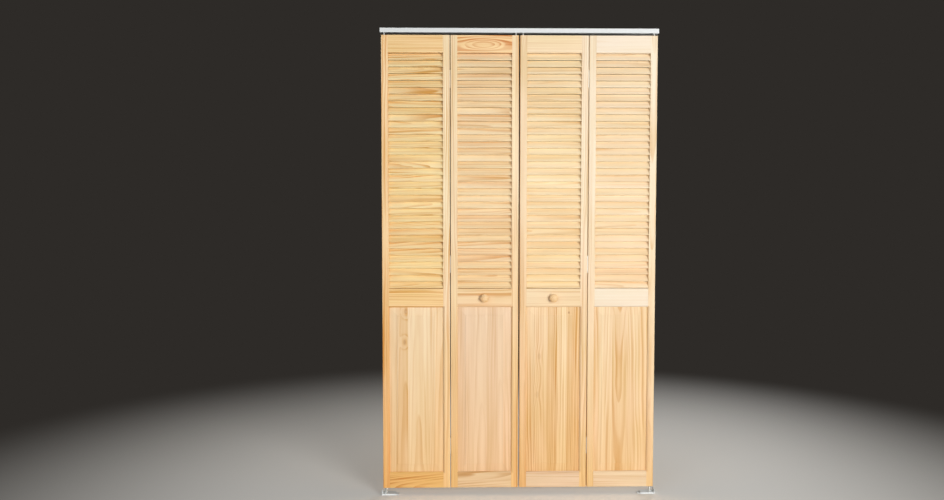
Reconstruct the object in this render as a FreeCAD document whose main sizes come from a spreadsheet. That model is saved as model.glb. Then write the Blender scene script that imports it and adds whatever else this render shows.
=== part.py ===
import FreeCAD, Part
import os
import re
import Sketcher

# Bifold closet door set: four louvre-over-panel pine leaves in two folding pairs, with their track,
# brackets, hinges, sprung pivots and knobs. Millimetres. X runs across the opening, -Y faces the room,
# +Z is up. The origin is on the floor, in the middle of the opening and of the leaves' thickness.

sizes = [
    # Leaf frame
    ("leaf_width", 298.45),
    ("leaf_height", 1997),
    ("leaf_thickness", 28.5),
    ("edge_round", 2.5),
    ("stile_width", 30),
    ("top_rail_height", 75),
    ("lock_rail_height", 82),
    ("bottom_rail_height", 70),
    ("panel_opening_height", 738.6),
    # Gaps round the leaves
    ("side_gap", 6.35),
    ("centre_gap", 6.3),
    ("floor_gap", 32),
    ("track_gap", 11),
    # Stub tenons
    ("tenon_length", 11),
    ("tenon_thickness", 9.5),
    ("tenon_shoulder", 10),
    ("mortise_fit", 0.1),
    ("mortise_end_gap", 0.5),
    # Raised panel, its groove and the bevelled sticking round it
    ("groove_width", 9.5),
    ("groove_depth", 9),
    ("sticking_width", 6),
    ("sticking_depth", 5),
    ("panel_float", 1.5),
    ("panel_edge_thickness", 7),
    ("panel_field_thickness", 20),
    ("panel_field_step", 1.5),
    ("panel_bevel_width", 35),
    # Louvre slats, tilted from upright with the front edge low
    ("slat_count", 35),
    ("slat_width", 35),
    ("slat_thickness", 6.4),
    ("slat_tilt", 38),
    ("slat_ease", 1.3),
    ("slat_seat", 6.5),
    ("slat_fit", 0.15),
    ("louvre_margin", 1),
    # Butt hinges in the folding joints
    ("hinge_height", 75),
    ("hinge_plate", 1.5),
    ("hinge_play", 0.2),
    ("hinge_reach", 24),
    ("hinge_inset", 187),
    ("barrel_diameter", 6.4),
    ("barrel_setback", 0.2),
    ("knuckle_height", 24.7),
    ("knuckle_play", 0.3),
    ("hinge_pin_diameter", 3),
    ("hinge_pin_fit", 0.05),
    ("hinge_screw_diameter", 3),
    ("hinge_screw_head", 6),
    ("hinge_screw_length", 16),
    ("hinge_screw_spacing", 46),
    ("hinge_screw_depth", 14),
    ("screw_fit", 0.05),
    # Knob on the lock rail
    ("knob_diameter", 37),
    ("knob_projection", 28),
    ("knob_foot_diameter", 23),
    ("knob_cove_height", 14),
    ("knob_cove_radius", 13),
    ("knob_rim_height", 7),
    ("knob_rim_bulge", 1.8),
    ("knob_screw_diameter", 4),
    ("knob_screw_head", 8),
    ("knob_screw_head_height", 2.5),
    ("knob_screw_bite", 15),
    ("counterbore_diameter", 9),
    ("counterbore_depth", 5),
    # Sprung pins at the top of the pivot and lead stiles
    ("pivot_inset", 12.7),
    ("sleeve_diameter", 9.5),
    ("sleeve_fit", 0.05),
    ("sleeve_length", 44),
    ("sleeve_floor", 1.5),
    ("sleeve_mouth", 7),
    ("flange_diameter", 14),
    ("flange_thickness", 1.5),
    ("chamber_diameter", 7.9),
    ("pin_diameter", 6.35),
    ("pin_fit", 0.1),
    ("pin_head_diameter", 7.5),
    ("pin_head_height", 3),
    ("pin_head_play", 0.2),
    ("pin_tip_chamfer", 1),
    ("pivot_pin_reach", 20.5),
    ("spring_wire", 0.9),
    ("spring_fit", 0.3),
    # Guide roller
    ("roller_diameter", 13),
    ("roller_height", 6),
    ("roller_chamfer", 0.8),
    ("roller_lift", 0.7),
    ("roller_play", 0.3),
    ("spindle_diameter", 4.5),
    ("spindle_fit", 0.1),
    ("spindle_head_diameter", 8),
    ("spindle_head_height", 1),
    # Top track, a rolled channel with its lower edges turned in and up
    ("track_width", 30),
    ("track_height", 19),
    ("track_wall", 1.2),
    ("track_slot", 14),
    ("track_hem", 6),
    ("track_end_gap", 1.6),
    ("track_hole_diameter", 4.5),
    ("track_hole_inner", 150),
    ("track_hole_outer", 450),
    # Top pivot bracket, standing on the turned-up edges of the track
    ("bracket_width", 26),
    ("bracket_plate", 2),
    ("bracket_flange", 5),
    ("bracket_outer_reach", 12),
    ("bracket_inner_reach", 36),
    ("collar_diameter", 11),
    ("collar_drop", 5),
    ("clamp_offset", 26),
    ("clamp_diameter", 5),
    ("clamp_fit", 0.1),
    ("clamp_head_diameter", 9),
    ("clamp_head_height", 3),
    ("clamp_head_gap", 0.4),
    # Floor bracket at the jamb
    ("pan_length", 62),
    ("pan_depth", 38),
    ("pan_height", 6),
    ("pan_wall", 2),
    ("jamb_leg_height", 20),
    ("jamb_hole_height", 15),
    ("jamb_hole_spacing", 22),
    ("foot_length", 14),
    ("foot_depth", 28),
    ("foot_hole_spacing", 15),
    ("bracket_hole_diameter", 4.5),
    ("tooth_count", 5),
    ("tooth_pitch", 5.5),
    ("tooth_fit", 0.2),
    # Bottom pivot, screwed up into the pivot stile
    ("foot_pin_diameter", 9.5),
    ("foot_pin_depth", 38),
    ("foot_tip_diameter", 7),
    ("foot_tip_gap", 2),
    ("foot_hex_across", 13),
    ("foot_hex_height", 6.5),
    ("foot_play", 0.3),
]

# Places worked out from the sizes
places = [
    ("leaf_top", "floor_gap + leaf_height"),
    ("hinge_gap", "2 * hinge_plate + hinge_play"),
    ("opening_half", "side_gap + 2 * leaf_width + hinge_gap + centre_gap / 2"),
    ("left_pivot_edge", "side_gap - opening_half"),
    ("left_guide_edge", "-centre_gap / 2 - leaf_width"),
    ("right_guide_edge", "centre_gap / 2"),
    ("right_pivot_edge", "centre_gap / 2 + leaf_width + hinge_gap"),
    ("pivot_axis", "left_pivot_edge + pivot_inset"),
    ("guide_axis", "-centre_gap / 2 - pivot_inset"),
    ("hinge_axis", "left_guide_edge - hinge_gap / 2"),
    ("hinge_back", "leaf_thickness / 2 + barrel_setback + barrel_diameter / 2"),
    ("hinge_rise", "leaf_height - 2 * hinge_inset"),
    ("plate_front", "hinge_reach + barrel_setback + barrel_diameter / 2"),
    ("plate_back", "barrel_diameter / 2 + knuckle_play"),
    ("screw_line_back", "-(barrel_setback + barrel_diameter / 2 + hinge_screw_depth)"),
    ("inner_edge", "leaf_width - stile_width"),
    ("panel_top", "bottom_rail_height + panel_opening_height"),
    ("louvre_bottom", "panel_top + lock_rail_height"),
    ("louvre_top", "leaf_height - top_rail_height"),
    ("panel_lap", "groove_depth - panel_float"),
    ("tilt_sin", "sin(slat_tilt)"),
    ("tilt_cos", "cos(slat_tilt)"),
    ("slat_rise", "slat_width * tilt_cos + slat_thickness * tilt_sin"),
    ("first_slat", "louvre_bottom + louvre_margin + slat_rise / 2"),
    ("slat_span", "louvre_top - louvre_bottom - 2 * louvre_margin - slat_rise"),
    ("track_bottom", "leaf_top + track_gap"),
    ("track_half", "opening_half - track_end_gap"),
    ("hem_top", "track_bottom + track_hem"),
    ("pin_head_top", "-sleeve_mouth - pin_head_play"),
    ("pin_head_bottom", "pin_head_top - pin_head_height"),
    ("chamber_floor", "sleeve_floor - sleeve_length"),
    ("roller_bottom", "track_gap + roller_lift"),
    ("spindle_top", "roller_bottom + roller_height + roller_play"),
    ("knob_height", "panel_top + lock_rail_height / 2"),
    ("knob_neck_radius", "knob_diameter / 2 - knob_rim_bulge"),
    ("knob_rim_radius", "(knob_rim_height ^ 2 / 4 + knob_rim_bulge ^ 2) / (2 * knob_rim_bulge)"),
    ("knob_dome_height", "knob_projection - knob_cove_height - knob_rim_height"),
    ("knob_dome_radius", "(knob_neck_radius ^ 2 + knob_dome_height ^ 2) / (2 * knob_dome_height)"),
    ("tooth_diameter", "foot_tip_diameter + 2 * tooth_fit"),
    ("foot_hex_bottom", "pan_height + foot_play - floor_gap"),
]

doc = FreeCAD.newDocument("BifoldDoor")
sheet_of = {}


def write_sheet(name, rows):
    sheet = doc.addObject("Spreadsheet::Sheet", name)
    for row, (alias, value) in enumerate(rows, start=1):
        sheet_of[alias] = name
        sheet.set(f"A{row}", alias)
        sheet.set(f"B{row}", str(value) if name == "Sizes" else "=" + bound(value, name))
        sheet.setAlias(f"B{row}", alias)
    doc.recompute()


# Puts the sheet's name before each size that an expression uses
def bound(text, home=None):
    def full_name(match):
        sheet = sheet_of[match.group()]
        return match.group() if sheet == home else f"{sheet}.{match.group()}"
    return re.sub(r"[a-z]+(?:_[a-z]+)+", full_name, text)


write_sheet("Sizes", sizes)
write_sheet("Layout", places)


def value_of(text):
    return float(doc.Sizes.evalExpression(bound(text, "Sizes")))


# Sketches and features

def new_body(name, x="0", y="0", z="0"):
    body = doc.addObject("PartDesign::Body", name)
    body.AllowCompound = True
    body.setExpression("Placement.Base.x", bound(x))
    body.setExpression("Placement.Base.y", bound(y))
    body.setExpression("Placement.Base.z", bound(z))
    return body


def origin_feature(body, role):
    return next(item for item in body.Origin.OriginFeatures if item.Role == role)


def new_sketch(body, plane, lift="0", up="0"):
    sketch = body.newObject("Sketcher::SketchObject", body.Name + "Sketch")
    sketch.AttachmentSupport = [(origin_feature(body, plane), "")]
    sketch.MapMode = "FlatFace"
    sketch.setExpression("AttachmentOffset.Base.y", bound(up))
    sketch.setExpression("AttachmentOffset.Base.z", bound(lift))
    return sketch


def bind_point(sketch, item, end, x, y):
    for kind, text in (("DistanceX", x), ("DistanceY", y)):
        row = sketch.addConstraint(Sketcher.Constraint(kind, item, end, value_of(text)))
        sketch.setExpression(f"Constraints[{row}]", bound(text))


# Closed outline through corners (x, y); a corner (x, y, radius) starts an arc that bends to the left,
# or to the right where a fourth item is -1
def add_outline(sketch, corners):
    spots = [FreeCAD.Vector(value_of(corner[0]), value_of(corner[1]), 0) for corner in corners]
    ends = []
    for corner, spot, after in zip(corners, spots, spots[1:] + spots[:1]):
        if len(corner) == 2:
            item = sketch.addGeometry(Part.LineSegment(spot, after))
            ends.append((item, 1, 2))
            continue
        side = corner[3] if len(corner) > 3 else 1
        half = (after - spot) * 0.5
        normal = FreeCAD.Vector(half.y, -half.x, 0).normalize() * side
        radius = value_of(corner[2])
        sagitta = radius - (radius ** 2 - half.Length ** 2) ** 0.5
        item = sketch.addGeometry(Part.Arc(spot, spot + half + normal * sagitta, after))
        first = 1 if sketch.getPoint(item, 1).distanceToPoint(spot) < half.Length else 2
        ends.append((item, first, 3 - first))
        row = sketch.addConstraint(Sketcher.Constraint("Radius", item, radius))
        sketch.setExpression(f"Constraints[{row}]", bound(corner[2]))
    for here, following in zip(ends, ends[1:] + ends[:1]):
        joined = Sketcher.Constraint("Coincident", here[0], here[2], following[0], following[1])
        sketch.addConstraint(joined)
    for corner, (item, first, last) in zip(corners, ends):
        bind_point(sketch, item, first, corner[0], corner[1])


def add_box(sketch, left, right, low, high):
    add_outline(sketch, [(left, low), (right, low), (right, high), (left, high)])


def add_circle(sketch, x, y, diameter):
    centre = FreeCAD.Vector(value_of(x), value_of(y), 0)
    item = sketch.addGeometry(Part.Circle(centre, FreeCAD.Vector(0, 0, 1), value_of(diameter) / 2))
    bind_point(sketch, item, 3, x, y)
    row = sketch.addConstraint(Sketcher.Constraint("Diameter", item, value_of(diameter)))
    sketch.setExpression(f"Constraints[{row}]", bound(diameter))


def add_feature(kind, body, sketch, length, backward=False, symmetric=False):
    feature = body.newObject("PartDesign::" + kind, body.Name + kind)
    feature.Profile = sketch
    feature.setExpression("Length", bound(length))
    feature.SideType = "Symmetric" if symmetric else "One side"
    feature.Reversed = backward
    return feature


def pad(body, sketch, length, **options):
    return add_feature("Pad", body, sketch, length, **options)


def pocket(body, sketch, length, **options):
    return add_feature("Pocket", body, sketch, length, **options)


def turn(kind, body, sketch, axis="V_Axis"):
    feature = body.newObject("PartDesign::" + kind, body.Name + kind)
    feature.Profile = sketch
    feature.ReferenceAxis = (sketch, [axis])
    feature.Angle = 360
    return feature


# Frustum between two upright boxes (left, right, low, high) at two depths, near the room and far from it
def wedge(kind, body, near, near_box, far, far_box):
    feature = body.newObject("PartDesign::" + kind, body.Name + kind)
    for side, text in (("Ymin", near), ("Ymax", far)):
        feature.setExpression(side, bound(text))
    for number, box in (("", near_box), ("2", far_box)):
        for side, text in zip(("X{}min", "X{}max", "Z{}min", "Z{}max"), box):
            feature.setExpression(side.format(number), bound(text))
    return feature


# Row of copies along one of the body's axes, of one feature or of the whole body so far
def repeat(body, span, count, feature=None, axis="Z_Axis"):
    doc.recompute()
    pattern = body.newObject("PartDesign::LinearPattern", body.Name + "Row")
    if feature is None:
        pattern.TransformMode = "Whole shape"
    else:
        pattern.Originals = [feature]
    pattern.Direction = (origin_feature(body, axis), [""])
    pattern.setExpression("Length", bound(span))
    pattern.setExpression("Occurrences", bound(count))
    body.Tip = pattern
    return pattern


def turned_body(name, corners, x, y, z):
    body = new_body(name, x, y, z)
    sketch = new_sketch(body, "XZ_Plane")
    add_outline(sketch, corners)
    turn("Revolution", body, sketch)
    return body


# Wooden leaf

# Leaves are drawn from their left edge and lower end
def leaf_body(name, leaf):
    return new_body(name, leaf + "_edge", "0", "floor_gap")


# Bevel round the lower opening on both faces, mitred at its corners
def cut_sticking(body):
    sight = ("stile_width", "inner_edge", "bottom_rail_height", "panel_top")
    face = ("stile_width - sticking_width", "inner_edge + sticking_width",
            "bottom_rail_height - sticking_width", "panel_top + sticking_width")
    deep = "leaf_thickness / 2 - sticking_depth"
    wedge("SubtractiveWedge", body, "-leaf_thickness / 2", face, f"-({deep})", sight)
    wedge("SubtractiveWedge", body, deep, sight, "leaf_thickness / 2", face)


# Corner of a slat's section, along the slat's width and square to it
def slat_corner(along, square):
    y = f"({along}) * tilt_sin + ({square}) * tilt_cos"
    z = f"first_slat + ({along}) * tilt_cos - ({square}) * tilt_sin"
    return y, z


def make_stile(name, leaf, hand, ends=(), hinged=False):
    body = leaf_body(name, leaf)
    on_left = hand == "left"

    def across(distance):
        return distance if on_left else f"leaf_width - ({distance})"

    blank = new_sketch(body, "XZ_Plane")
    add_box(blank, across("0"), across("stile_width"), "0", "leaf_height")
    stock = pad(body, blank, "leaf_thickness", symmetric=True)
    doc.recompute()
    outer_x = value_of(across("0"))
    long_edges = []
    for number, edge in enumerate(stock.Shape.Edges, start=1):
        box = edge.BoundBox
        if box.ZLength > 1 and abs(box.XMin - outer_x) < 0.01:
            long_edges.append(f"Edge{number}")
    rounding = body.newObject("PartDesign::Fillet", name + "Rounding")
    rounding.Base = (stock, long_edges)
    rounding.setExpression("Radius", bound("edge_round"))

    slot = new_sketch(body, "YZ_Plane", across("stile_width"))
    half_width = "slat_width / 2 + slat_fit"
    half_height = "slat_thickness / 2 + slat_fit"
    signs = (("", ""), ("", "-"), ("-", "-"), ("-", ""))
    add_outline(slot, [slat_corner(f"{a}({half_width})", f"{b}({half_height})") for a, b in signs])
    cut = pocket(body, slot, "slat_seat", backward=not on_left)
    repeat(body, "slat_span", "slat_count", cut)

    mortises = new_sketch(body, "YZ_Plane", across("stile_width"))
    cheek = "tenon_thickness / 2 + mortise_fit"
    for low, high in rail_levels.values():
        add_box(mortises, f"-({cheek})", cheek, f"{low} + tenon_shoulder - mortise_fit",
                f"{high} - tenon_shoulder + mortise_fit")
    pocket(body, mortises, "tenon_length + mortise_end_gap", backward=not on_left)

    groove = new_sketch(body, "YZ_Plane", across("stile_width"))
    add_box(groove, "-groove_width / 2", "groove_width / 2",
            "bottom_rail_height - groove_depth", "panel_top + groove_depth")
    pocket(body, groove, "groove_depth", backward=not on_left)
    cut_sticking(body)

    if "top" in ends:
        bore = new_sketch(body, "XY_Plane", "leaf_height")
        add_circle(bore, across("pivot_inset"), "0", "sleeve_diameter + 2 * sleeve_fit")
        pocket(body, bore, "sleeve_length")
    if "bottom" in ends:
        bore = new_sketch(body, "XY_Plane")
        add_circle(bore, across("pivot_inset"), "0", "foot_pin_diameter + 2 * sleeve_fit")
        pocket(body, bore, "foot_pin_depth", backward=True)
    if hinged:
        pilots = new_sketch(body, "YZ_Plane", across("0"))
        for sign in "-+":
            height = f"hinge_inset {sign} hinge_screw_spacing / 2"
            add_circle(pilots, "leaf_thickness / 2 - hinge_screw_depth", height,
                       "hinge_screw_diameter + 2 * screw_fit")
        drilled = pocket(body, pilots, "hinge_screw_length - hinge_plate", backward=on_left)
        repeat(body, "hinge_rise", "3", drilled)
    return body


rail_levels = {
    "bottom_rail": ("0", "bottom_rail_height"),
    "lock_rail": ("panel_top", "louvre_bottom"),
    "top_rail": ("louvre_top", "leaf_height"),
}


def make_rail(name, leaf, rail, knob_hole=False):
    body = leaf_body(name, leaf)
    low, high = rail_levels[rail]
    blank = new_sketch(body, "XZ_Plane")
    add_box(blank, "stile_width", "inner_edge", low, high)
    pad(body, blank, "leaf_thickness", symmetric=True)
    tenons = new_sketch(body, "XZ_Plane")
    add_box(tenons, "stile_width - tenon_length", "inner_edge + tenon_length",
            low + "+ tenon_shoulder", high + "- tenon_shoulder")
    pad(body, tenons, "tenon_thickness", symmetric=True)
    if rail != "top_rail":
        below_panel = rail == "bottom_rail"
        groove = new_sketch(body, "XY_Plane", high if below_panel else low)
        add_box(groove, "stile_width", "inner_edge", "-groove_width / 2", "groove_width / 2")
        pocket(body, groove, "groove_depth", backward=not below_panel)
        cut_sticking(body)
    if knob_hole:
        hole = new_sketch(body, "XZ_Plane")
        add_circle(hole, "leaf_width / 2", "knob_height", "knob_screw_diameter + 2 * screw_fit")
        pocket(body, hole, "leaf_thickness", symmetric=True)
        counterbore = new_sketch(body, "XZ_Plane", "-leaf_thickness / 2")
        add_circle(counterbore, "leaf_width / 2", "knob_height", "counterbore_diameter")
        pocket(body, counterbore, "counterbore_depth", backward=True)
    return body


# Panel that rests on the floor of the bottom rail's groove, with a stepped field raised on both faces
def make_panel(name, leaf):
    body = leaf_body(name, leaf)
    outline = ("stile_width - panel_lap", "inner_edge + panel_lap",
               "bottom_rail_height - groove_depth", "panel_top + panel_lap")
    field = ("stile_width + panel_bevel_width", "inner_edge - panel_bevel_width",
             "bottom_rail_height + panel_bevel_width", "panel_top - panel_bevel_width")
    board = new_sketch(body, "XZ_Plane")
    add_box(board, *outline)
    pad(body, board, "panel_edge_thickness", symmetric=True)
    shoulder = "panel_field_thickness / 2 - panel_field_step"
    wedge("AdditiveWedge", body, f"-({shoulder})", field, "-panel_edge_thickness / 2", outline)
    wedge("AdditiveWedge", body, "panel_edge_thickness / 2", outline, shoulder, field)
    raised = new_sketch(body, "XZ_Plane")
    add_box(raised, *field)
    pad(body, raised, "panel_field_thickness", symmetric=True)
    return body


def make_slats(name, leaf):
    body = leaf_body(name, leaf)
    section = new_sketch(body, "YZ_Plane", "stile_width - slat_seat + slat_fit")
    long_half, short_half = "slat_width / 2", "slat_thickness / 2"
    long_flat, short_flat = "(slat_width / 2 - slat_ease)", "(slat_thickness / 2 - slat_ease)"
    upper = [(long_half, "-" + short_flat), (long_half, short_flat), (long_flat, short_half),
             ("-" + long_flat, short_half)]
    lower = [("-" + long_half, short_flat), ("-" + long_half, "-" + short_flat),
             ("-" + long_flat, "-" + short_half), (long_flat, "-" + short_half)]
    add_outline(section, [slat_corner(*corner) for corner in upper + lower])
    slat = pad(body, section, "inner_edge - stile_width + 2 * slat_seat - 2 * slat_fit")
    repeat(body, "slat_span", "slat_count", slat)
    return body


# Hinges in the folding joint: two outer knuckles on the pivot leaf's plate, one on the guide leaf's

def make_hinge_leaves(name, side):
    body = new_body(name, "hinge_axis", "hinge_back", "floor_gap + hinge_inset")
    inner, outer = f"{side}hinge_play / 2", f"{side}(hinge_play / 2 + hinge_plate)"
    plate = new_sketch(body, "YZ_Plane", inner)
    add_box(plate, "-plate_front", "-plate_back", "-hinge_height / 2", "hinge_height / 2")
    pad(body, plate, "hinge_plate", backward=side == "-")
    lower_end = "hinge_height / 2 - knuckle_height"
    levels = ["-hinge_height / 2", lower_end] if side == "-" else [f"knuckle_play - ({lower_end})"]
    height = "knuckle_height" if side == "-" else f"2 * ({lower_end}) - 2 * knuckle_play"
    for level in levels:
        barrel = new_sketch(body, "XY_Plane", level)
        add_circle(barrel, "0", "0", "barrel_diameter")
        pad(body, barrel, height)
        web = new_sketch(body, "XY_Plane", level)
        add_box(web, inner, outer, "-plate_back", "0")
        pad(body, web, height)
    bore = new_sketch(body, "XY_Plane")
    add_circle(bore, "0", "0", "hinge_pin_diameter + 2 * hinge_pin_fit")
    pocket(body, bore, "hinge_height", symmetric=True)
    for sign in "-+":
        hole = new_sketch(body, "XY_Plane", f"{sign}hinge_screw_spacing / 2", "screw_line_back")
        add_outline(hole, [(inner, "0"), (inner, "hinge_screw_head / 2 + screw_fit"),
                           (outer, "hinge_screw_diameter / 2 + screw_fit"), (outer, "0")])
        turn("Groove", body, hole, "H_Axis")
    repeat(body, "hinge_rise", "3")
    return body


def make_hinge_pins(name):
    body = new_body(name, "hinge_axis", "hinge_back", "floor_gap + hinge_inset")
    section = new_sketch(body, "XY_Plane")
    add_circle(section, "0", "0", "hinge_pin_diameter")
    pad(body, section, "hinge_height", symmetric=True)
    repeat(body, "hinge_rise", "3")
    return body


# Countersunk screws, flush with the plate they hold
def make_hinge_screws(name, side):
    body = new_body(name, "hinge_axis", "hinge_back", "floor_gap + hinge_inset")
    profile = new_sketch(body, "XY_Plane", "-hinge_screw_spacing / 2", "screw_line_back")
    flush, neck = f"{side}hinge_play / 2", f"{side}(hinge_play / 2 + hinge_plate)"
    tip = f"{side}(hinge_play / 2 + hinge_screw_length)"
    add_outline(profile, [(flush, "0"), (flush, "hinge_screw_head / 2"), (neck, "hinge_screw_diameter / 2"),
                          (tip, "hinge_screw_diameter / 2"), (tip, "0")])
    turn("Revolution", body, profile, "H_Axis")
    repeat(body, "hinge_screw_spacing", "2")
    repeat(body, "hinge_rise", "3")
    return body


# Knob, turned on an axis that points out of the lock rail's front face

def facing_room(body):
    body.Placement.Rotation = FreeCAD.Rotation(FreeCAD.Vector(1, 0, 0), 90)
    return body


def make_knob(name):
    rim_top = "knob_cove_height + knob_rim_height"
    corners = [("0", "0"), ("knob_foot_diameter / 2", "0", "knob_cove_radius", -1),
               ("knob_neck_radius", "knob_cove_height", "knob_rim_radius"),
               ("knob_neck_radius", rim_top, "knob_dome_radius"), ("0", "knob_projection")]
    x, z = "left_guide_edge + leaf_width / 2", "floor_gap + knob_height"
    body = facing_room(turned_body(name, corners, x, "-leaf_thickness / 2", z))
    hole = new_sketch(body, "XY_Plane")
    add_circle(hole, "0", "0", "knob_screw_diameter + 2 * screw_fit")
    pocket(body, hole, "knob_screw_bite", backward=True)
    return body


def make_knob_screw(name):
    seat = "counterbore_depth - leaf_thickness"
    shank, head = "knob_screw_diameter / 2", "knob_screw_head / 2"
    corners = [("0", f"{seat} - knob_screw_head_height"), (head, f"{seat} - knob_screw_head_height"),
               (head, seat), (shank, seat), (shank, "knob_screw_bite"), ("0", "knob_screw_bite")]
    x, z = "left_guide_edge + leaf_width / 2", "floor_gap + knob_height"
    return facing_room(turned_body(name, corners, x, "-leaf_thickness / 2", z))


# Sprung pins, heights measured from the top of the leaf

def make_sleeve(name, axis):
    mouth, shell, chamber = "pin_diameter / 2 + pin_fit", "sleeve_diameter / 2", "chamber_diameter / 2"
    corners = [(mouth, "flange_thickness"), ("flange_diameter / 2", "flange_thickness"),
               ("flange_diameter / 2", "0"), (shell, "0"), (shell, "-sleeve_length"),
               ("0", "-sleeve_length"), ("0", "chamber_floor"), (chamber, "chamber_floor"),
               (chamber, "-sleeve_mouth"), (mouth, "-sleeve_mouth")]
    return turned_body(name, corners, axis, "0", "leaf_top")


def make_spring(name, axis):
    outer = "chamber_diameter / 2 - spring_fit"
    inner = f"{outer} - spring_wire"
    corners = [(inner, "chamber_floor"), (outer, "chamber_floor"),
               (outer, "pin_head_bottom"), (inner, "pin_head_bottom")]
    return turned_body(name, corners, axis, "0", "leaf_top")


def pin_foot():
    head, shaft = "pin_head_diameter / 2", "pin_diameter / 2"
    return [("0", "pin_head_bottom"), (head, "pin_head_bottom"), (head, "pin_head_top"),
            (shaft, "pin_head_top")]


def make_pivot_pin(name):
    shaft = "pin_diameter / 2"
    tip = [(shaft, "pivot_pin_reach - pin_tip_chamfer"), (f"{shaft} - pin_tip_chamfer", "pivot_pin_reach"),
           ("0", "pivot_pin_reach")]
    return turned_body(name, pin_foot() + tip, "pivot_axis", "0", "leaf_top")


def make_guide_pin(name):
    shoulder = "roller_bottom - roller_play"
    spindle, head = "spindle_diameter / 2", "spindle_head_diameter / 2"
    top = "spindle_top + spindle_head_height"
    upper = [("pin_diameter / 2", shoulder), (spindle, shoulder), (spindle, "spindle_top"),
             (head, "spindle_top"), (head, top), ("0", top)]
    return turned_body(name, pin_foot() + upper, "guide_axis", "0", "leaf_top")


def make_roller(name):
    bore, rim = "spindle_diameter / 2 + spindle_fit", "roller_diameter / 2"
    top = "roller_bottom + roller_height"
    corners = [(bore, "roller_bottom"), (f"{rim} - roller_chamfer", "roller_bottom"),
               (rim, "roller_bottom + roller_chamfer"), (rim, f"{top} - roller_chamfer"),
               (f"{rim} - roller_chamfer", top), (bore, top)]
    return turned_body(name, corners, "guide_axis", "0", "leaf_top")


# Bottom pivot: shank in the stile, hex collar, and a tip that stands in the floor bracket
def make_bottom_pivot(name):
    shank, tip = "foot_pin_diameter / 2", "foot_tip_diameter / 2"
    corners = [("0", "foot_tip_gap - floor_gap"), (tip, "foot_tip_gap - floor_gap"),
               (tip, "foot_hex_bottom"), (shank, "foot_hex_bottom"), (shank, "foot_pin_depth"),
               ("0", "foot_pin_depth")]
    body = turned_body(name, corners, "pivot_axis", "0", "floor_gap")
    collar = new_sketch(body, "XY_Plane", "foot_hex_bottom")
    corner = "foot_hex_across / 2 / cos(30)"
    angles = range(0, 360, 60)
    add_outline(collar, [(f"{corner} * cos({angle})", f"{corner} * sin({angle})") for angle in angles])
    pad(body, collar, "foot_hex_height")
    return body


# Track and brackets, fixed to the opening

def make_track(name):
    body = new_body(name, "0", "0", "track_bottom")
    section = new_sketch(body, "YZ_Plane", "-track_half")
    side, lip = "track_width / 2", "track_slot / 2"
    half = [(side, "track_height"), (side, "0"), (lip, "0"), (lip, "track_hem"),
            (f"{lip} + track_wall", "track_hem"), (f"{lip} + track_wall", "track_wall"),
            (f"{side} - track_wall", "track_wall"), (f"{side} - track_wall", "track_height - track_wall")]
    add_outline(section, half + [(f"-({y})", z) for y, z in reversed(half)])
    pad(body, section, "2 * track_half")
    holes = new_sketch(body, "XY_Plane", "track_height")
    for place in ("track_hole_inner", "-track_hole_inner", "track_hole_outer", "-track_hole_outer"):
        add_circle(holes, place, "0", "track_hole_diameter")
    pocket(body, holes, "track_wall")
    return body


def make_top_bracket(name):
    body = new_body(name, "pivot_axis", "0", "hem_top")
    edge = "bracket_width / 2"
    plate = new_sketch(body, "XY_Plane")
    add_box(plate, "-bracket_outer_reach", "bracket_inner_reach", f"-{edge}", edge)
    pad(body, plate, "bracket_plate")
    flanges = new_sketch(body, "XY_Plane", "bracket_plate")
    for sign in ("", "-"):
        add_box(flanges, "-bracket_outer_reach", "bracket_inner_reach",
                f"{sign}({edge} - bracket_plate)", f"{sign}{edge}")
    pad(body, flanges, "bracket_flange")
    collar = new_sketch(body, "XY_Plane")
    add_circle(collar, "0", "0", "collar_diameter")
    pad(body, collar, "collar_drop", backward=True)
    bores = new_sketch(body, "XY_Plane", "bracket_plate")
    add_circle(bores, "0", "0", "pin_diameter + 2 * pin_fit")
    add_circle(bores, "clamp_offset", "0", "clamp_diameter + 2 * clamp_fit")
    pocket(body, bores, "bracket_plate + collar_drop")
    return body


# Screw that jacks the bracket down on the track's edges by pressing on the channel's web
def make_clamp_screw(name):
    shank, head = "clamp_diameter / 2", "clamp_head_diameter / 2"
    under, web = "-clamp_head_gap", "track_height - track_wall - track_hem"
    low = "-clamp_head_gap - clamp_head_height"
    corners = [("0", low), (head, low), (head, under), (shank, under), (shank, web), ("0", web)]
    return turned_body(name, corners, "pivot_axis + clamp_offset", "0", "hem_top")


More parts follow.
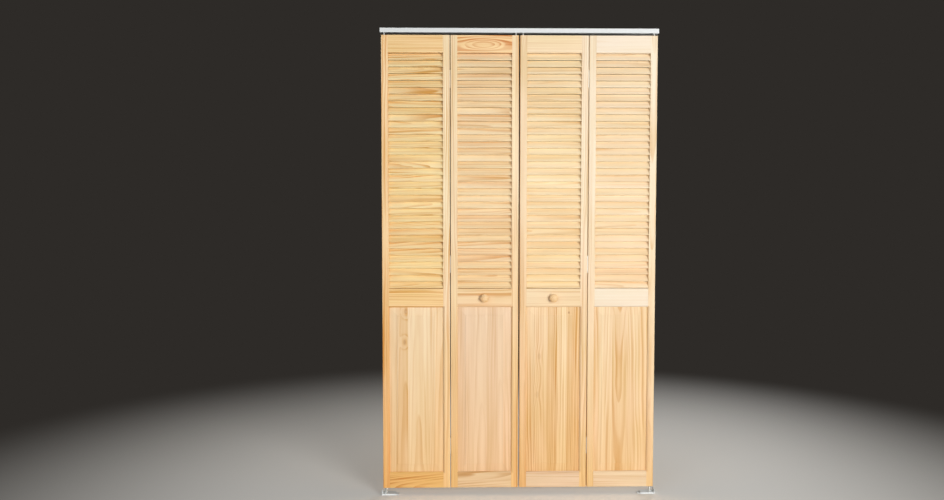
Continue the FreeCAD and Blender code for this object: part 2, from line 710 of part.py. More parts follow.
# Pressed pan against the jamb, with a toothed slot that the bottom pivot stands in
def make_floor_bracket(name):
    body = new_body(name, "-opening_half", "0", "0")
    side = "pan_depth / 2"
    block = new_sketch(body, "XY_Plane")
    add_box(block, "0", "pan_length", f"-{side}", side)
    pad(body, block, "pan_height")
    hollow = new_sketch(body, "XY_Plane")
    add_box(hollow, "pan_wall", "pan_length - pan_wall", f"pan_wall - {side}", f"{side} - pan_wall")
    pocket(body, hollow, "pan_height - pan_wall", backward=True)
    leg = new_sketch(body, "YZ_Plane")
    add_box(leg, f"-{side}", side, "0", "jamb_leg_height")
    pad(body, leg, "pan_wall")
    foot = new_sketch(body, "XY_Plane")
    add_box(foot, "pan_length - pan_wall", "pan_length + foot_length", "-foot_depth / 2", "foot_depth / 2")
    pad(body, foot, "pan_wall")
    jamb_holes = new_sketch(body, "YZ_Plane")
    floor_holes = new_sketch(body, "XY_Plane", "pan_wall")
    for sign in ("", "-"):
        add_circle(jamb_holes, f"{sign}jamb_hole_spacing / 2", "jamb_hole_height", "bracket_hole_diameter")
        add_circle(floor_holes, "pan_length + foot_length / 2", f"{sign}foot_hole_spacing / 2",
                   "bracket_hole_diameter")
    pocket(body, jamb_holes, "pan_wall", backward=True)
    pocket(body, floor_holes, "pan_wall")
    tooth = new_sketch(body, "XY_Plane", "pan_height")
    add_circle(tooth, "side_gap + pivot_inset - (tooth_count - 1) / 2 * tooth_pitch", "0", "tooth_diameter")
    notch = pocket(body, tooth, "pan_wall")
    repeat(body, "(tooth_count - 1) * tooth_pitch", "tooth_count", notch, "X_Axis")
    return body


# Assembly: four leaves in place, the left pair's hardware and its mirror image for the right pair

def mirror_image(name, source):
    image = doc.addObject("Part::Mirroring", name)
    image.Source = source
    image.Normal = FreeCAD.Vector(1, 0, 0)
    return image


def group(name, members):
    together = doc.addObject("Part::Compound", name)
    together.Links = members
    return together


nodes = {}
stile_ends = {"pivot_stile": ("top", "bottom"), "lead_stile": ("top",), "hinge_stile": ()}
for leaf, stiles in (("left_pivot", ("pivot_stile", "hinge_stile")),
                     ("left_guide", ("hinge_stile", "lead_stile")),
                     ("right_guide", ("lead_stile", "hinge_stile")),
                     ("right_pivot", ("hinge_stile", "pivot_stile"))):
    for hand, stile in zip(("left", "right"), stiles):
        hinged = stile == "hinge_stile"
        nodes[f"{leaf}_leaf_{stile}"] = make_stile(f"{leaf}_{stile}", leaf, hand, stile_ends[stile], hinged)
    for rail in rail_levels:
        with_knob = "guide" in leaf and rail == "lock_rail"
        nodes[f"{leaf}_leaf_{rail}"] = make_rail(f"{leaf}_{rail}", leaf, rail, with_knob)
    nodes[f"{leaf}_leaf_raised_panel"] = make_panel(f"{leaf}_panel", leaf)
    nodes[f"{leaf}_leaf_louvre_slats"] = make_slats(f"{leaf}_slats", leaf)

left_pair = {}
left_pair["hinge_leaves_pivot_side"] = make_hinge_leaves("hinge_leaves_pivot", "-")
left_pair["hinge_leaves_guide_side"] = make_hinge_leaves("hinge_leaves_guide", "")
left_pair["hinge_pins"] = make_hinge_pins("hinge_pins")
left_pair["pivot_leaf_screws"] = make_hinge_screws("hinge_screws_pivot", "-")
guide_screws = [make_hinge_screws("hinge_screws_guide", ""), make_knob_screw("knob_screw")]
left_pair["guide_leaf_screws"] = group("guide_screws", guide_screws)
left_pair["knob"] = make_knob("knob")
left_pair["top_pivot_sleeve"] = make_sleeve("pivot_sleeve", "pivot_axis")
left_pair["top_pivot_pin"] = make_pivot_pin("pivot_pin")
left_pair["top_pivot_spring"] = make_spring("pivot_spring", "pivot_axis")
left_pair["guide_sleeve"] = make_sleeve("guide_sleeve", "guide_axis")
left_pair["guide_pin"] = make_guide_pin("guide_pin")
left_pair["guide_spring"] = make_spring("guide_spring", "guide_axis")
left_pair["guide_roller"] = make_roller("guide_roller")
left_pair["bottom_pivot"] = make_bottom_pivot("bottom_pivot")

for name, piece in left_pair.items():
    nodes["left_" + name] = piece
    nodes["right_" + name] = mirror_image(name + "_image", piece)

nodes["track"] = make_track("track_channel")
for name, maker in (("top_pivot_brackets", make_top_bracket), ("top_bracket_screws", make_clamp_screw),
                    ("floor_brackets", make_floor_bracket)):
    one = maker(name + "_left")
    nodes[name] = group(name + "_pair", [one, mirror_image(name + "_right", one)])

for label, piece in nodes.items():
    piece.Label = label
doc.recompute()

# Nothing is written unless every feature worked and every cut removed material
faults = [item.Name for item in doc.Objects if {"Invalid", "Error"} & set(item.State)]
for item in doc.Objects:
    if item.TypeId in ("PartDesign::Pocket", "PartDesign::Groove", "PartDesign::SubtractiveWedge"):
        if item.Shape.Volume > item.BaseFeature.Shape.Volume - 0.01:
            faults.append(item.Name + " cuts nothing")
for label, piece in nodes.items():
    if piece.Shape.isNull() or not piece.Shape.isValid() or not piece.Shape.Solids:
        faults.append(label + " has no sound shape")
if faults:
    raise RuntimeError("Not written: " + ", ".join(faults))

os.makedirs("parts", exist_ok=True)
for label, piece in nodes.items():
    piece.Shape.exportStep(f"parts/{label}.step")
print(len(nodes), "nodes,", sum(len(piece.Shape.Solids) for piece in nodes.values()), "solids")
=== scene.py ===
import math
import random

import bmesh
import bpy
from mathutils import Euler, Matrix, Vector


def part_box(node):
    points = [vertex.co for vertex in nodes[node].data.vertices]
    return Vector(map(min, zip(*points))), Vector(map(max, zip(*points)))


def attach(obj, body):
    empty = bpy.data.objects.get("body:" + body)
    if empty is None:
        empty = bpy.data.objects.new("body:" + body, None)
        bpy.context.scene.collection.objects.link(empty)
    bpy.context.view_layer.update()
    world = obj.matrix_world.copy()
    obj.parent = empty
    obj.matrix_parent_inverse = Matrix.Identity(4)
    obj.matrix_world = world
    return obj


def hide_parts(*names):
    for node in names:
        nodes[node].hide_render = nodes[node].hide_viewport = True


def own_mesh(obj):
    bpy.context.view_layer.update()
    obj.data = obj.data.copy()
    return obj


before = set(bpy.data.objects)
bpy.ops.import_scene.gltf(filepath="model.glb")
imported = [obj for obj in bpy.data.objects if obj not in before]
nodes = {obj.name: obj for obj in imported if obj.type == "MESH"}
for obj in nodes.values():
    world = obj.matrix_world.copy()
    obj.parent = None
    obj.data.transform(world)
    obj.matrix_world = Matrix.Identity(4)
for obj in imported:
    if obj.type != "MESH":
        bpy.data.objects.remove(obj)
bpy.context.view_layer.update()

# Bifold closet door in unfinished pine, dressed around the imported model. Metres, with the front towards -Y.

scene = bpy.context.scene
scene.view_settings.view_transform = "Standard"
sides = {"left": -1, "right": 1}
mm = 1000  # millimetres in a metre

# settings that many nodes share
times, minus, timesPlus = ({"operation": name} for name in ("MULTIPLY", "SUBTRACT", "MULTIPLY_ADD"))
mixColours = {"data_type": "RGBA"}


def srgb(hexCode):  # sRGB hex to the linear colour that a socket takes
    parts = [int(hexCode[i:i + 2], 16) / 255 for i in (1, 3, 5)]
    return [c / 12.92 if c <= 0.04045 else ((c + 0.055) / 1.055) ** 2.4 for c in parts] + [1.0]


def plug(tree, node, links):  # links holds sockets to link and values to set
    for key, value in links.items():
        if isinstance(value, bpy.types.NodeSocket):
            tree.links.new(value, node.inputs[key])
        else:
            node.inputs[key].default_value = value


def addNode(tree, kind, settings={}, links={}, out=0):
    node = tree.nodes.new(kind)
    for key, value in settings.items():
        setattr(node, key, value)
    plug(tree, node, links)
    return node.outputs[out] if len(node.outputs) else node


def newGroup(name, kind, inputs, outputs):  # sockets are (name, type) pairs
    tree = bpy.data.node_groups.new(name, kind)
    for direction, sockets in (("INPUT", inputs), ("OUTPUT", outputs)):
        for label, socketType in sockets:
            tree.interface.new_socket(label, in_out=direction, socket_type=socketType)
    given = tree.nodes.new("NodeGroupInput").outputs
    return tree, given, tree.nodes.new("NodeGroupOutput")


def finishTree(tree, result, geometry, material):  # plain faces in one material, as the export needs
    plain = addNode(tree, "GeometryNodeRealizeInstances", {}, {"Geometry": geometry})
    painted = addNode(tree, "GeometryNodeSetMaterial", {}, {"Geometry": plain, "Material": material})
    plug(tree, result, {"Geometry": painted})
    return tree


def newMaterial(name):
    material = bpy.data.materials.new(name)
    material.use_nodes = True
    tree = material.node_tree
    shader = next(n for n in tree.nodes if n.type == "BSDF_PRINCIPLED")
    return material, tree, shader


def dress(nodeName, material):
    nodes[nodeName].material_slots[0].material = material


# Sawn pine: growth rings about a pith outside the board, drawn out along the grain.
# Board coordinates are millimetres with Z along the grain.

figureSettings = {
    "waverAcross": 70,  # mm, how wide the slow bends of the rings are
    "waverAlong": 430,
    "streakAcross": 13,  # mm, tone streaks several rings wide
    "streakAlong": 620,
    "patchAcross": 24,  # mm, where the rings stand out and where they fade
    "patchAlong": 460,
    "driftAcross": 85,  # mm, slow change from pink to yellow over a board
    "driftAlong": 330,
    "fibreAcross": 1.6,  # mm, drawn about ten times as coarse as real fibres so that they show
    "fibreAlong": 70,
    "detail": {"waver": 2.0, "streak": 2.0, "fibre": 3.0, "patch": 1.0, "drift": 1.0},
    "unevenBy": 2.6,  # how far the rings stray from even spacing, in rings
    "unevenRate": 0.37,  # how often they do, per ring
    "year": ((0.4, 0.1), (0.82, 0.85), (0.93, 1.0)),  # slow darkening, then a sharp edge
    "patchNoise": (0.34, 0.66),  # noise levels at which the rings are faintest and boldest
    "patchShows": (0.15, 1.3),  # how much of them shows there
}


def makePineFigure(s):
    vectorIn, floatIn = "NodeSocketVector", "NodeSocketFloat"
    tree, given, result = newGroup(
        "pineFigure", "ShaderNodeTree",
        [("Board", vectorIn), ("Pith", vectorIn), ("Ring", floatIn), ("Taper", floatIn),
         ("Waver", floatIn), ("Bend", floatIn), ("Seed", floatIn)],
        [("Late", floatIn), ("Fibre", floatIn), ("Streak", floatIn), ("Drift", floatIn)])
    soft = {}
    for name, detail in s["detail"].items():
        across, along = 1 / s[name + "Across"], 1 / s[name + "Along"]
        drawn = addNode(tree, "ShaderNodeVectorMath", times,
                        {0: given["Board"], 1: (across, across, along)})
        soft[name] = addNode(tree, "ShaderNodeTexNoise", {"noise_dimensions": "4D"},
                             {"Vector": drawn, "W": given["Seed"], "Scale": 1.0, "Detail": detail})
    fromPith = addNode(tree, "ShaderNodeVectorMath", minus, {0: given["Board"], 1: given["Pith"]})
    flat = addNode(tree, "ShaderNodeVectorMath", times, {0: fromPith, 1: (1, 1, 0)})
    radius = addNode(tree, "ShaderNodeVectorMath", {"operation": "LENGTH"}, {0: flat}, "Value")
    height = addNode(tree, "ShaderNodeSeparateXYZ", {}, {0: given["Board"]}, "Z")
    coned = addNode(tree, "ShaderNodeMath", timesPlus, {0: height, 1: given["Taper"], 2: radius})
    centred = addNode(tree, "ShaderNodeMath", minus, {0: soft["waver"], 1: 0.5})
    wavy = addNode(tree, "ShaderNodeMath", timesPlus, {0: centred, 1: given["Waver"], 2: coned})
    bent = addNode(tree, "ShaderNodeMath", {}, {0: wavy, 1: given["Bend"]})
    rings = addNode(tree, "ShaderNodeMath", {"operation": "DIVIDE"}, {0: bent, 1: given["Ring"]})
    uneven = addNode(tree, "ShaderNodeTexNoise", {"noise_dimensions": "1D"},
                     {"W": rings, "Scale": s["unevenRate"], "Detail": 1.0})
    spaced = addNode(tree, "ShaderNodeMath", timesPlus, {0: uneven, 1: s["unevenBy"], 2: rings})
    year = addNode(tree, "ShaderNodeMath", {"operation": "FRACT"}, {0: spaced})
    late = addNode(tree, "ShaderNodeValToRGB", {}, {0: year})
    ramp = late.node.color_ramp
    ramp.interpolation = "EASE"
    for place, level in s["year"]:
        ramp.elements.new(place).color = (level, level, level, 1)
    ramp.elements[-1].color = (0, 0, 0, 1)
    faint, bold = s["patchNoise"]
    least, most = s["patchShows"]
    strength = addNode(tree, "ShaderNodeMapRange", {},
                       {"Value": soft["patch"], "From Min": faint, "From Max": bold,
                        "To Min": least, "To Max": most})
    shown = addNode(tree, "ShaderNodeMath", times, {0: late, 1: strength})
    plug(tree, result, {"Late": shown, "Fibre": soft["fibre"], "Streak": soft["streak"],
                        "Drift": soft["drift"]})
    return tree


pineFigure = makePineFigure(figureSettings)

pineSettings = {
    "ring": 4.2,  # mm between growth rings
    "pith": (55, 40),  # mm from the board's middle to the tree's middle, across and deep
    "taper": 0.012,
    "waver": 9,  # mm that the rings wander
    "contrast": 0.55,  # share of the latewood colour in a ring's dark line
    "streak": 0.8,
    "fibre": 0.34,
    "drift": 0.9,
    "hueDrift": 0.03,
    "lateLimits": (-0.3, 1.2),  # least and most of the latewood colour, below 0 paler than the sapwood
    "depth": 1.0,  # less than 1 holds the figure steady where a bevel cuts into it
    "tone": 1.0,
    "amber": 4.0,  # how much a strip or slat of a lower tone turns to the latewood colour
    "footShade": 0.8,  # share of the painted shade that darkens and warms the foot of the board
    "knots": (),  # (across, along, radius, depth of colour), in mm from the board's middle
    "knotPush": 2.4,  # how far a knot pushes the rings aside, in radii; negative draws ovals
    "knotReach": 5,  # how far out it does so, in radii
    "knotRim": (0.55, 1.25),  # where its colour starts to fade and is gone, in radii
    "knotAspect": 0.5,  # width over length
    "strips": (),  # (share of the width, tone, place of the pith across) of each glued strip
    "roughness": 0.63,
    "lateSheen": -0.09,  # latewood is dense, so it is a little smoother
    "lateRise": 0.5,  # and it stands proud of the softer wood
    "bump": 0.35,
    "grainDepth": 0.00035,
    "edge": 0.0008,  # sanded arris
    "specular": 0.32,  # bare wood, no varnish
}
knotColour = "#A8642F"
# painted shade: pine darkened and warmed towards the floor, where less light falls
paintedFootShade = {"shadeTint": "#f1d7b0", "unshadedAbove": 1.35, "fullShadeBelow": 0.05}
# mm across, deep and along the tree that the slats were cut from
slatCut = {"across": 70, "deep": 60, "along": 20000}
stripSettings = {
    "toneReach": 2.0,  # tone, mm along the tree and mm aside that a full colour channel stands for
    "alongReach": 400.0,
    "asideReach": 150.0,
    "start": 0.13,  # place along the tree of the first strip, and how far on the next one is
    "stagger": 0.37,
}


def knotNodes(tree, board, s):  # how far the knots push the rings, and how dark the knots are
    bend = knot = None
    rimStart, rimEnd = s["knotRim"]
    for across, lengthwise, radius, knotDepth in s["knots"]:
        fromKnot = addNode(tree, "ShaderNodeVectorMath", minus, {0: board, 1: (across, 0, lengthwise)})
        oval = addNode(tree, "ShaderNodeVectorMath", times, {0: fromKnot, 1: (1, 0, s["knotAspect"])})
        far = addNode(tree, "ShaderNodeVectorMath", {"operation": "LENGTH"}, {0: oval}, "Value")
        push = addNode(tree, "ShaderNodeMapRange", {"interpolation_type": "SMOOTHERSTEP"},
                       {"Value": far, "From Max": radius * s["knotReach"],
                        "To Min": radius * s["knotPush"], "To Max": 0.0})
        core = addNode(tree, "ShaderNodeMapRange", {"interpolation_type": "SMOOTHSTEP"},
                       {"Value": far, "From Min": radius * rimStart, "From Max": radius * rimEnd,
                        "To Min": knotDepth, "To Max": 0.0})
        bend = push if bend is None else addNode(tree, "ShaderNodeMath", {}, {0: bend, 1: push})
        knot = core if knot is None else addNode(tree, "ShaderNodeMath", {}, {0: knot, 1: core})
    return bend, knot


def gluedStrips(tree, board, width, strips):  # each has its own tone and its own place in a tree
    s = stripSettings
    across = addNode(tree, "ShaderNodeSeparateXYZ", {}, {0: board})
    share = addNode(tree, "ShaderNodeMapRange", {},
                    {"Value": across, "From Min": -width * mm / 2, "From Max": width * mm / 2})
    strip = addNode(tree, "ShaderNodeValToRGB", {}, {0: share})
    ramp = strip.node.color_ramp
    ramp.interpolation = "CONSTANT"
    ramp.elements.remove(ramp.elements[1])
    start = 0.0
    for number, (part, stripTone, pithAcross) in enumerate(strips):
        element = ramp.elements.new(start) if number else ramp.elements[0]
        element.position = start
        alongTree = (number * s["stagger"] + s["start"]) % 1
        aside = pithAcross / s["asideReach"] / 2 + 0.5
        element.color = (stripTone / s["toneReach"], alongTree, aside, 1)
        start += part
    red, green, blue = addNode(tree, "ShaderNodeSeparateColor", {}, {0: strip}).node.outputs
    tone = addNode(tree, "ShaderNodeMath", times, {0: red, 1: s["toneReach"]})
    onward = addNode(tree, "ShaderNodeMath", times, {0: green, 1: s["alongReach"]})
    aside = addNode(tree, "ShaderNodeMapRange", {},
                    {"Value": blue, "To Min": s["asideReach"], "To Max": -s["asideReach"]})
    apart = addNode(tree, "ShaderNodeCombineXYZ", {}, {"X": aside, "Z": onward})
    return addNode(tree, "ShaderNodeVectorMath", {}, {0: board, 1: apart}), tone


def pineBoard(name, settings, middle=None, width=0.0, along="z", seed=0.0):
    s = {**pineSettings, **settings}
    early, late = s["tones"]
    material, tree, shader = newMaterial(name)
    place = addNode(tree, "ShaderNodeTexCoord", out="Object")
    tone = None
    if middle is None:  # slats carry their own place and tone
        onSlat = addNode(tree, "ShaderNodeAttribute", {"attribute_name": "grainPlace"}, out="Vector")
        shift = addNode(tree, "ShaderNodeAttribute", {"attribute_name": "grainShift"}, out="Vector")
        tone = addNode(tree, "ShaderNodeAttribute", {"attribute_name": "slatTone"}, out="Fac")
        turned = addNode(tree, "ShaderNodeMapping", {},
                         {"Vector": onSlat, "Rotation": (0, -math.pi / 2, 0), "Scale": (mm, mm, mm)})
        board = addNode(tree, "ShaderNodeVectorMath", {}, {0: turned, 1: shift})
    else:
        local = addNode(tree, "ShaderNodeVectorMath", minus, {0: place, 1: middle})
        turn = -math.pi / 2 if along == "x" else 0
        board = addNode(tree, "ShaderNodeMapping", {},
                        {"Vector": local, "Rotation": (0, turn, 0), "Scale": (mm, mm * s["depth"], mm)})
    bend, knot = knotNodes(tree, board, s)
    if s["strips"]:
        board, tone = gluedStrips(tree, board, width, s["strips"])
    figure = addNode(tree, "ShaderNodeGroup", {"node_tree": pineFigure},
                     {"Board": board, "Pith": (*s["pith"], 0), "Ring": s["ring"], "Taper": s["taper"],
                      "Waver": s["waver"], "Bend": 0.0 if bend is None else bend, "Seed": seed})
    lateLine, fibre, streak, drift = figure.node.outputs
    share = addNode(tree, "ShaderNodeMath", times, {0: lateLine, 1: s["contrast"]})
    for soft, amount in ((streak, s["streak"]), (fibre, s["fibre"]), (drift, s["drift"])):
        centred = addNode(tree, "ShaderNodeMath", minus, {0: soft, 1: 0.5})
        share = addNode(tree, "ShaderNodeMath", timesPlus, {0: centred, 1: amount, 2: share})
    if tone is not None:
        deeper = addNode(tree, "ShaderNodeMath", minus, {0: 1.0, 1: tone})
        share = addNode(tree, "ShaderNodeMath", timesPlus, {0: deeper, 1: s["amber"], 2: share})
    least, most = s["lateLimits"]
    limited = addNode(tree, "ShaderNodeClamp", {}, {0: share, "Min": least, "Max": most})
    colour = addNode(tree, "ShaderNodeMix", {"data_type": "RGBA", "clamp_factor": False},
                     {0: limited, 6: srgb(early), 7: srgb(late)}, 2)
    if knot is not None:
        colour = addNode(tree, "ShaderNodeMix", mixColours,
                         {0: knot, 6: colour, 7: srgb(knotColour)}, 2)
    # painted shade: the board turns darker and warmer towards the floor, for the light that falls off there
    height = addNode(tree, "ShaderNodeSeparateXYZ", {}, {0: place}, "Z")
    footShade = addNode(tree, "ShaderNodeMapRange", {},
                     {"Value": height, "From Min": paintedFootShade["unshadedAbove"],
                      "From Max": paintedFootShade["fullShadeBelow"], "To Max": s["footShade"]})
    colour = addNode(tree, "ShaderNodeMix", {"data_type": "RGBA", "blend_type": "MULTIPLY"},
                     {0: footShade, 6: colour, 7: srgb(paintedFootShade["shadeTint"])}, 2)
    hueSource, hueLow, hueHigh = drift, 0.0, 1.0
    if middle is None:  # a slat has one hue, by the place that it was cut from
        hueSource = addNode(tree, "ShaderNodeSeparateXYZ", {}, {0: shift})
        hueLow, hueHigh = -slatCut["across"], slatCut["across"]
    hue = addNode(tree, "ShaderNodeMapRange", {},
                  {"Value": hueSource, "From Min": hueLow, "From Max": hueHigh,
                   "To Min": 0.5 - s["hueDrift"] / 2, "To Max": 0.5 + s["hueDrift"] / 2})
    colour = addNode(tree, "ShaderNodeHueSaturation", {},
                     {"Hue": hue, "Value": s["tone"], "Color": colour})
    rough = addNode(tree, "ShaderNodeMath", timesPlus,
                    {0: lateLine, 1: s["lateSheen"], 2: s["roughness"]})
    raised = addNode(tree, "ShaderNodeMath", timesPlus, {0: lateLine, 1: s["lateRise"], 2: fibre})
    arris = addNode(tree, "ShaderNodeBevel", {"samples": 4}, {"Radius": s["edge"]})
    bump = addNode(tree, "ShaderNodeBump", {},
                   {"Height": raised, "Strength": s["bump"], "Distance": s["grainDepth"], "Normal": arris})
    plug(tree, shader, {"Base Color": colour, "Roughness": rough, "Normal": bump,
                        "Specular IOR Level": s["specular"]})
    return material


leafTonesAndPaintedLight = {  # pale sapwood and the amber of its latewood, for each kind of board; partly painted light: stiles, rails and slats are set paler and less amber from left to right, where the light falls brighter
    "left_pivot": {"stile": ("#fbdfb0", "#e5b06d"), "rail": ("#fcd99f", "#e4ad64"),
                   "lock": ("#fcdca4", "#e4ae65"), "panel": ("#fce6c3", "#e7bb80"),
                   "slats": ("#fbe7b5", "#e1b26c")},
    "left_guide": {"stile": ("#fce4bc", "#e6b984"), "rail": ("#f3d4a8", "#ddab75"),
                   "lock": ("#f7ddb6", "#e1b37f"), "panel": ("#f6dec3", "#e0b98e"),
                   "slats": ("#fae6c0", "#e3bd8a")},
    "right_guide": {"stile": ("#f6debb", "#e2bb89"), "rail": ("#fde5be", "#e9c28c"),
                    "lock": ("#f8e3bf", "#e4be89"), "panel": ("#f9e1bb", "#dfaf74"),
                    "slats": ("#fbe9c5", "#e5c38c")},
    "right_pivot": {"stile": ("#f8e6c9", "#e8c89c"), "rail": ("#fcecd5", "#f0d5ae"),
                    "lock": ("#f8eedd", "#edd5b2"), "panel": ("#f2dcba", "#dbae75"),
                    "slats": ("#fae8c9", "#e5c493")},
}

boardSettings = {  # boards that stand out from the rest of their leaf
    "left_pivot_leaf_pivot_stile": {"tones": ("#fdd9a4", "#e6aa63")},
    "left_pivot_leaf_hinge_stile": {"tones": ("#feeac6", "#ebc088")},
    "right_guide_leaf_lead_stile": {"tones": ("#f5dab3", "#e1b681")},
    "right_guide_leaf_hinge_stile": {"tones": ("#f9e6c8", "#e7c598")},
    "left_guide_leaf_top_rail": {
        "tones": ("#f8d49c", "#da9049"), "pith": (6, 60), "taper": 0.01, "contrast": 1.25, "ring": 8,
        "waver": 30, "knots": ((2, -8, 8, 0.0),), "knotPush": -2.6, "knotAspect": 0.27},
    "left_pivot_leaf_bottom_rail": {
        "tones": ("#f1d091", "#d5994c"), "pith": (40, 30), "taper": -0.09, "contrast": 1.0, "ring": 8},
    # painted shade: this bottom rail is set darker and greyer than its leaf, as less light falls near the
    # floor
    "left_guide_leaf_bottom_rail": {
        "tones": ("#ecdcc1", "#d3b081"), "pith": (-30, 60), "taper": 0.04, "contrast": 1.0, "ring": 8},
    "left_pivot_leaf_top_rail": {"contrast": 0.9, "ring": 8, "waver": 18},
    "left_pivot_leaf_lock_rail": {"contrast": 1.0, "ring": 9, "waver": 18},
    "left_guide_leaf_lock_rail": {"contrast": 0.95, "ring": 8, "waver": 18},
    # painted shade: these bottom rails are set darker and greyer than their leaves, as less light falls near
    # the floor
    "right_guide_leaf_bottom_rail": {"tones": ("#e9dbcb", "#d2b18b"), "contrast": 0.8},
    "right_pivot_leaf_bottom_rail": {"tones": ("#f4e9d9", "#dfbf9a"), "contrast": 0.8},
    "right_pivot_leaf_lock_rail": {"contrast": 0.3, "ring": 9},
    "right_pivot_leaf_top_rail": {"contrast": 0.3, "ring": 8},
    "left_pivot_leaf_raised_panel": {
        "strips": ((0.13, 1.0, 60), (0.22, 0.93, -46), (0.38, 1.04, 12), (0.27, 0.97, 120)),
        "contrast": 0.5, "ring": 9, "taper": 0.015, "hueDrift": 0.015,
        "knots": ((-47, 352, 6, 0.34), (-52, 215, 6, 0.3))},
    "left_guide_leaf_raised_panel": {
        "strips": ((0.13, 0.95, -60), (0.18, 0.98, 70), (0.24, 1.03, -12), (0.18, 0.95, 90),
                   (0.27, 1.01, 70)),
        "contrast": 0.4, "ring": 9, "taper": 0.015, "hueDrift": 0.012},
    "right_guide_leaf_raised_panel": {
        "strips": ((0.4, 1.0, -150), (0.17, 0.94, 60), (0.17, 1.06, 140), (0.26, 0.94, 150)),
        "contrast": 0.85, "ring": 8, "taper": 0.008, "knotPush": 0.8,
        "knots": ((70, 345, 3, 0.7), (-62, 150, 8, 0.16), (-70, -22, 8, 0.14))},
    "right_pivot_leaf_raised_panel": {
        "strips": ((0.11, 0.95, 40), (0.24, 1.02, -150), (0.26, 0.97, -6), (0.39, 1.0, 150)),
        "contrast": 0.65, "ring": 12, "taper": -0.022, "waver": 22},
}
cutSpread = {  # each board's own cut is drawn from these
    "ring": (4.0, 8.0),
    "pithAcross": (-90, 90),
    "pithDeep": (25, 80),  # behind the face or in front of it
    "taper": (-0.02, 0.02),
    "contrast": (0.4, 0.7),
    "tone": (0.96, 1.03),
    "seed": (0, 50),
}
panelCut = {"pith": (0, 44), "depth": 0.35, "waver": 12, "streak": 1.1}  # flat sawn, pith behind the face
# stiles take all of the painted shade at their foot
stileCut = {"streak": 1.3, "drift": 1.3, "footShade": 1.0, "waver": 20}
stileContrast = 1.5  # stiles show their rings more than rails do
leafParts = ("pivot_stile", "lead_stile", "hinge_stile", "top_rail", "lock_rail", "bottom_rail",
             "raised_panel")

draw = random.Random(41)
for leaf, tones in leafTonesAndPaintedLight.items():
    for part in leafParts:
        nodeName = f"{leaf}_leaf_{part}"
        if nodeName not in nodes:
            continue
        low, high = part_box(nodeName)
        upright = part.endswith("stile") or part == "raised_panel"
        settings = {
            "tones": tones["lock" if part == "lock_rail" else part.split("_")[1]],
            "ring": draw.uniform(*cutSpread["ring"]),
            "pith": (draw.uniform(*cutSpread["pithAcross"]),
                     draw.choice((-1, 1)) * draw.uniform(*cutSpread["pithDeep"])),
            "taper": draw.uniform(*cutSpread["taper"]),
            "contrast": draw.uniform(*cutSpread["contrast"]),
            "tone": draw.uniform(*cutSpread["tone"]),
        }
        if part.endswith("stile"):
            settings.update({**stileCut, "contrast": settings["contrast"] * stileContrast})
        if part == "raised_panel":
            settings.update(panelCut)
        settings.update(boardSettings.get(nodeName, {}))
        dress(nodeName, pineBoard(f"sawnPine_{nodeName}", settings, (low + high) / 2, high.x - low.x,
                                  "z" if upright else "x", draw.uniform(*cutSpread["seed"])))
print("pine boards dressed")


# Louvre slats: one eased slat, repeated up the opening and tilted with its front edge low

slatSettings = {
    "count": 35,
    "width": 0.035,
    "thickness": 0.0064,
    "ease": 0.0016,
    "easeSteps": 3,
    "pitch": 0.029349,
    "tilt": 38,  # degrees from upright
    "toneLow": 0.958,
    "toneHigh": 1.008,
    "seed": 11,  # of the first leaf, and one more for each next leaf
    "toneSeed": 7,  # more, so that tones are drawn apart from places
    "figureStep": 3.1,  # what sets one leaf's figure apart from the next
}
slatGrain = {"contrast": 0.6, "pith": (30, 30), "ring": 5, "waver": 12, "streak": 0.6, "hueDrift": 0.008}
boldSlats = {  # leaves whose slats came from boards with a wider, stronger figure
    "left_pivot": {"contrast": 0.92, "ring": 7, "waver": 18, "taper": 0.035},
    "left_guide": {"contrast": 0.9, "ring": 6, "waver": 13},
}


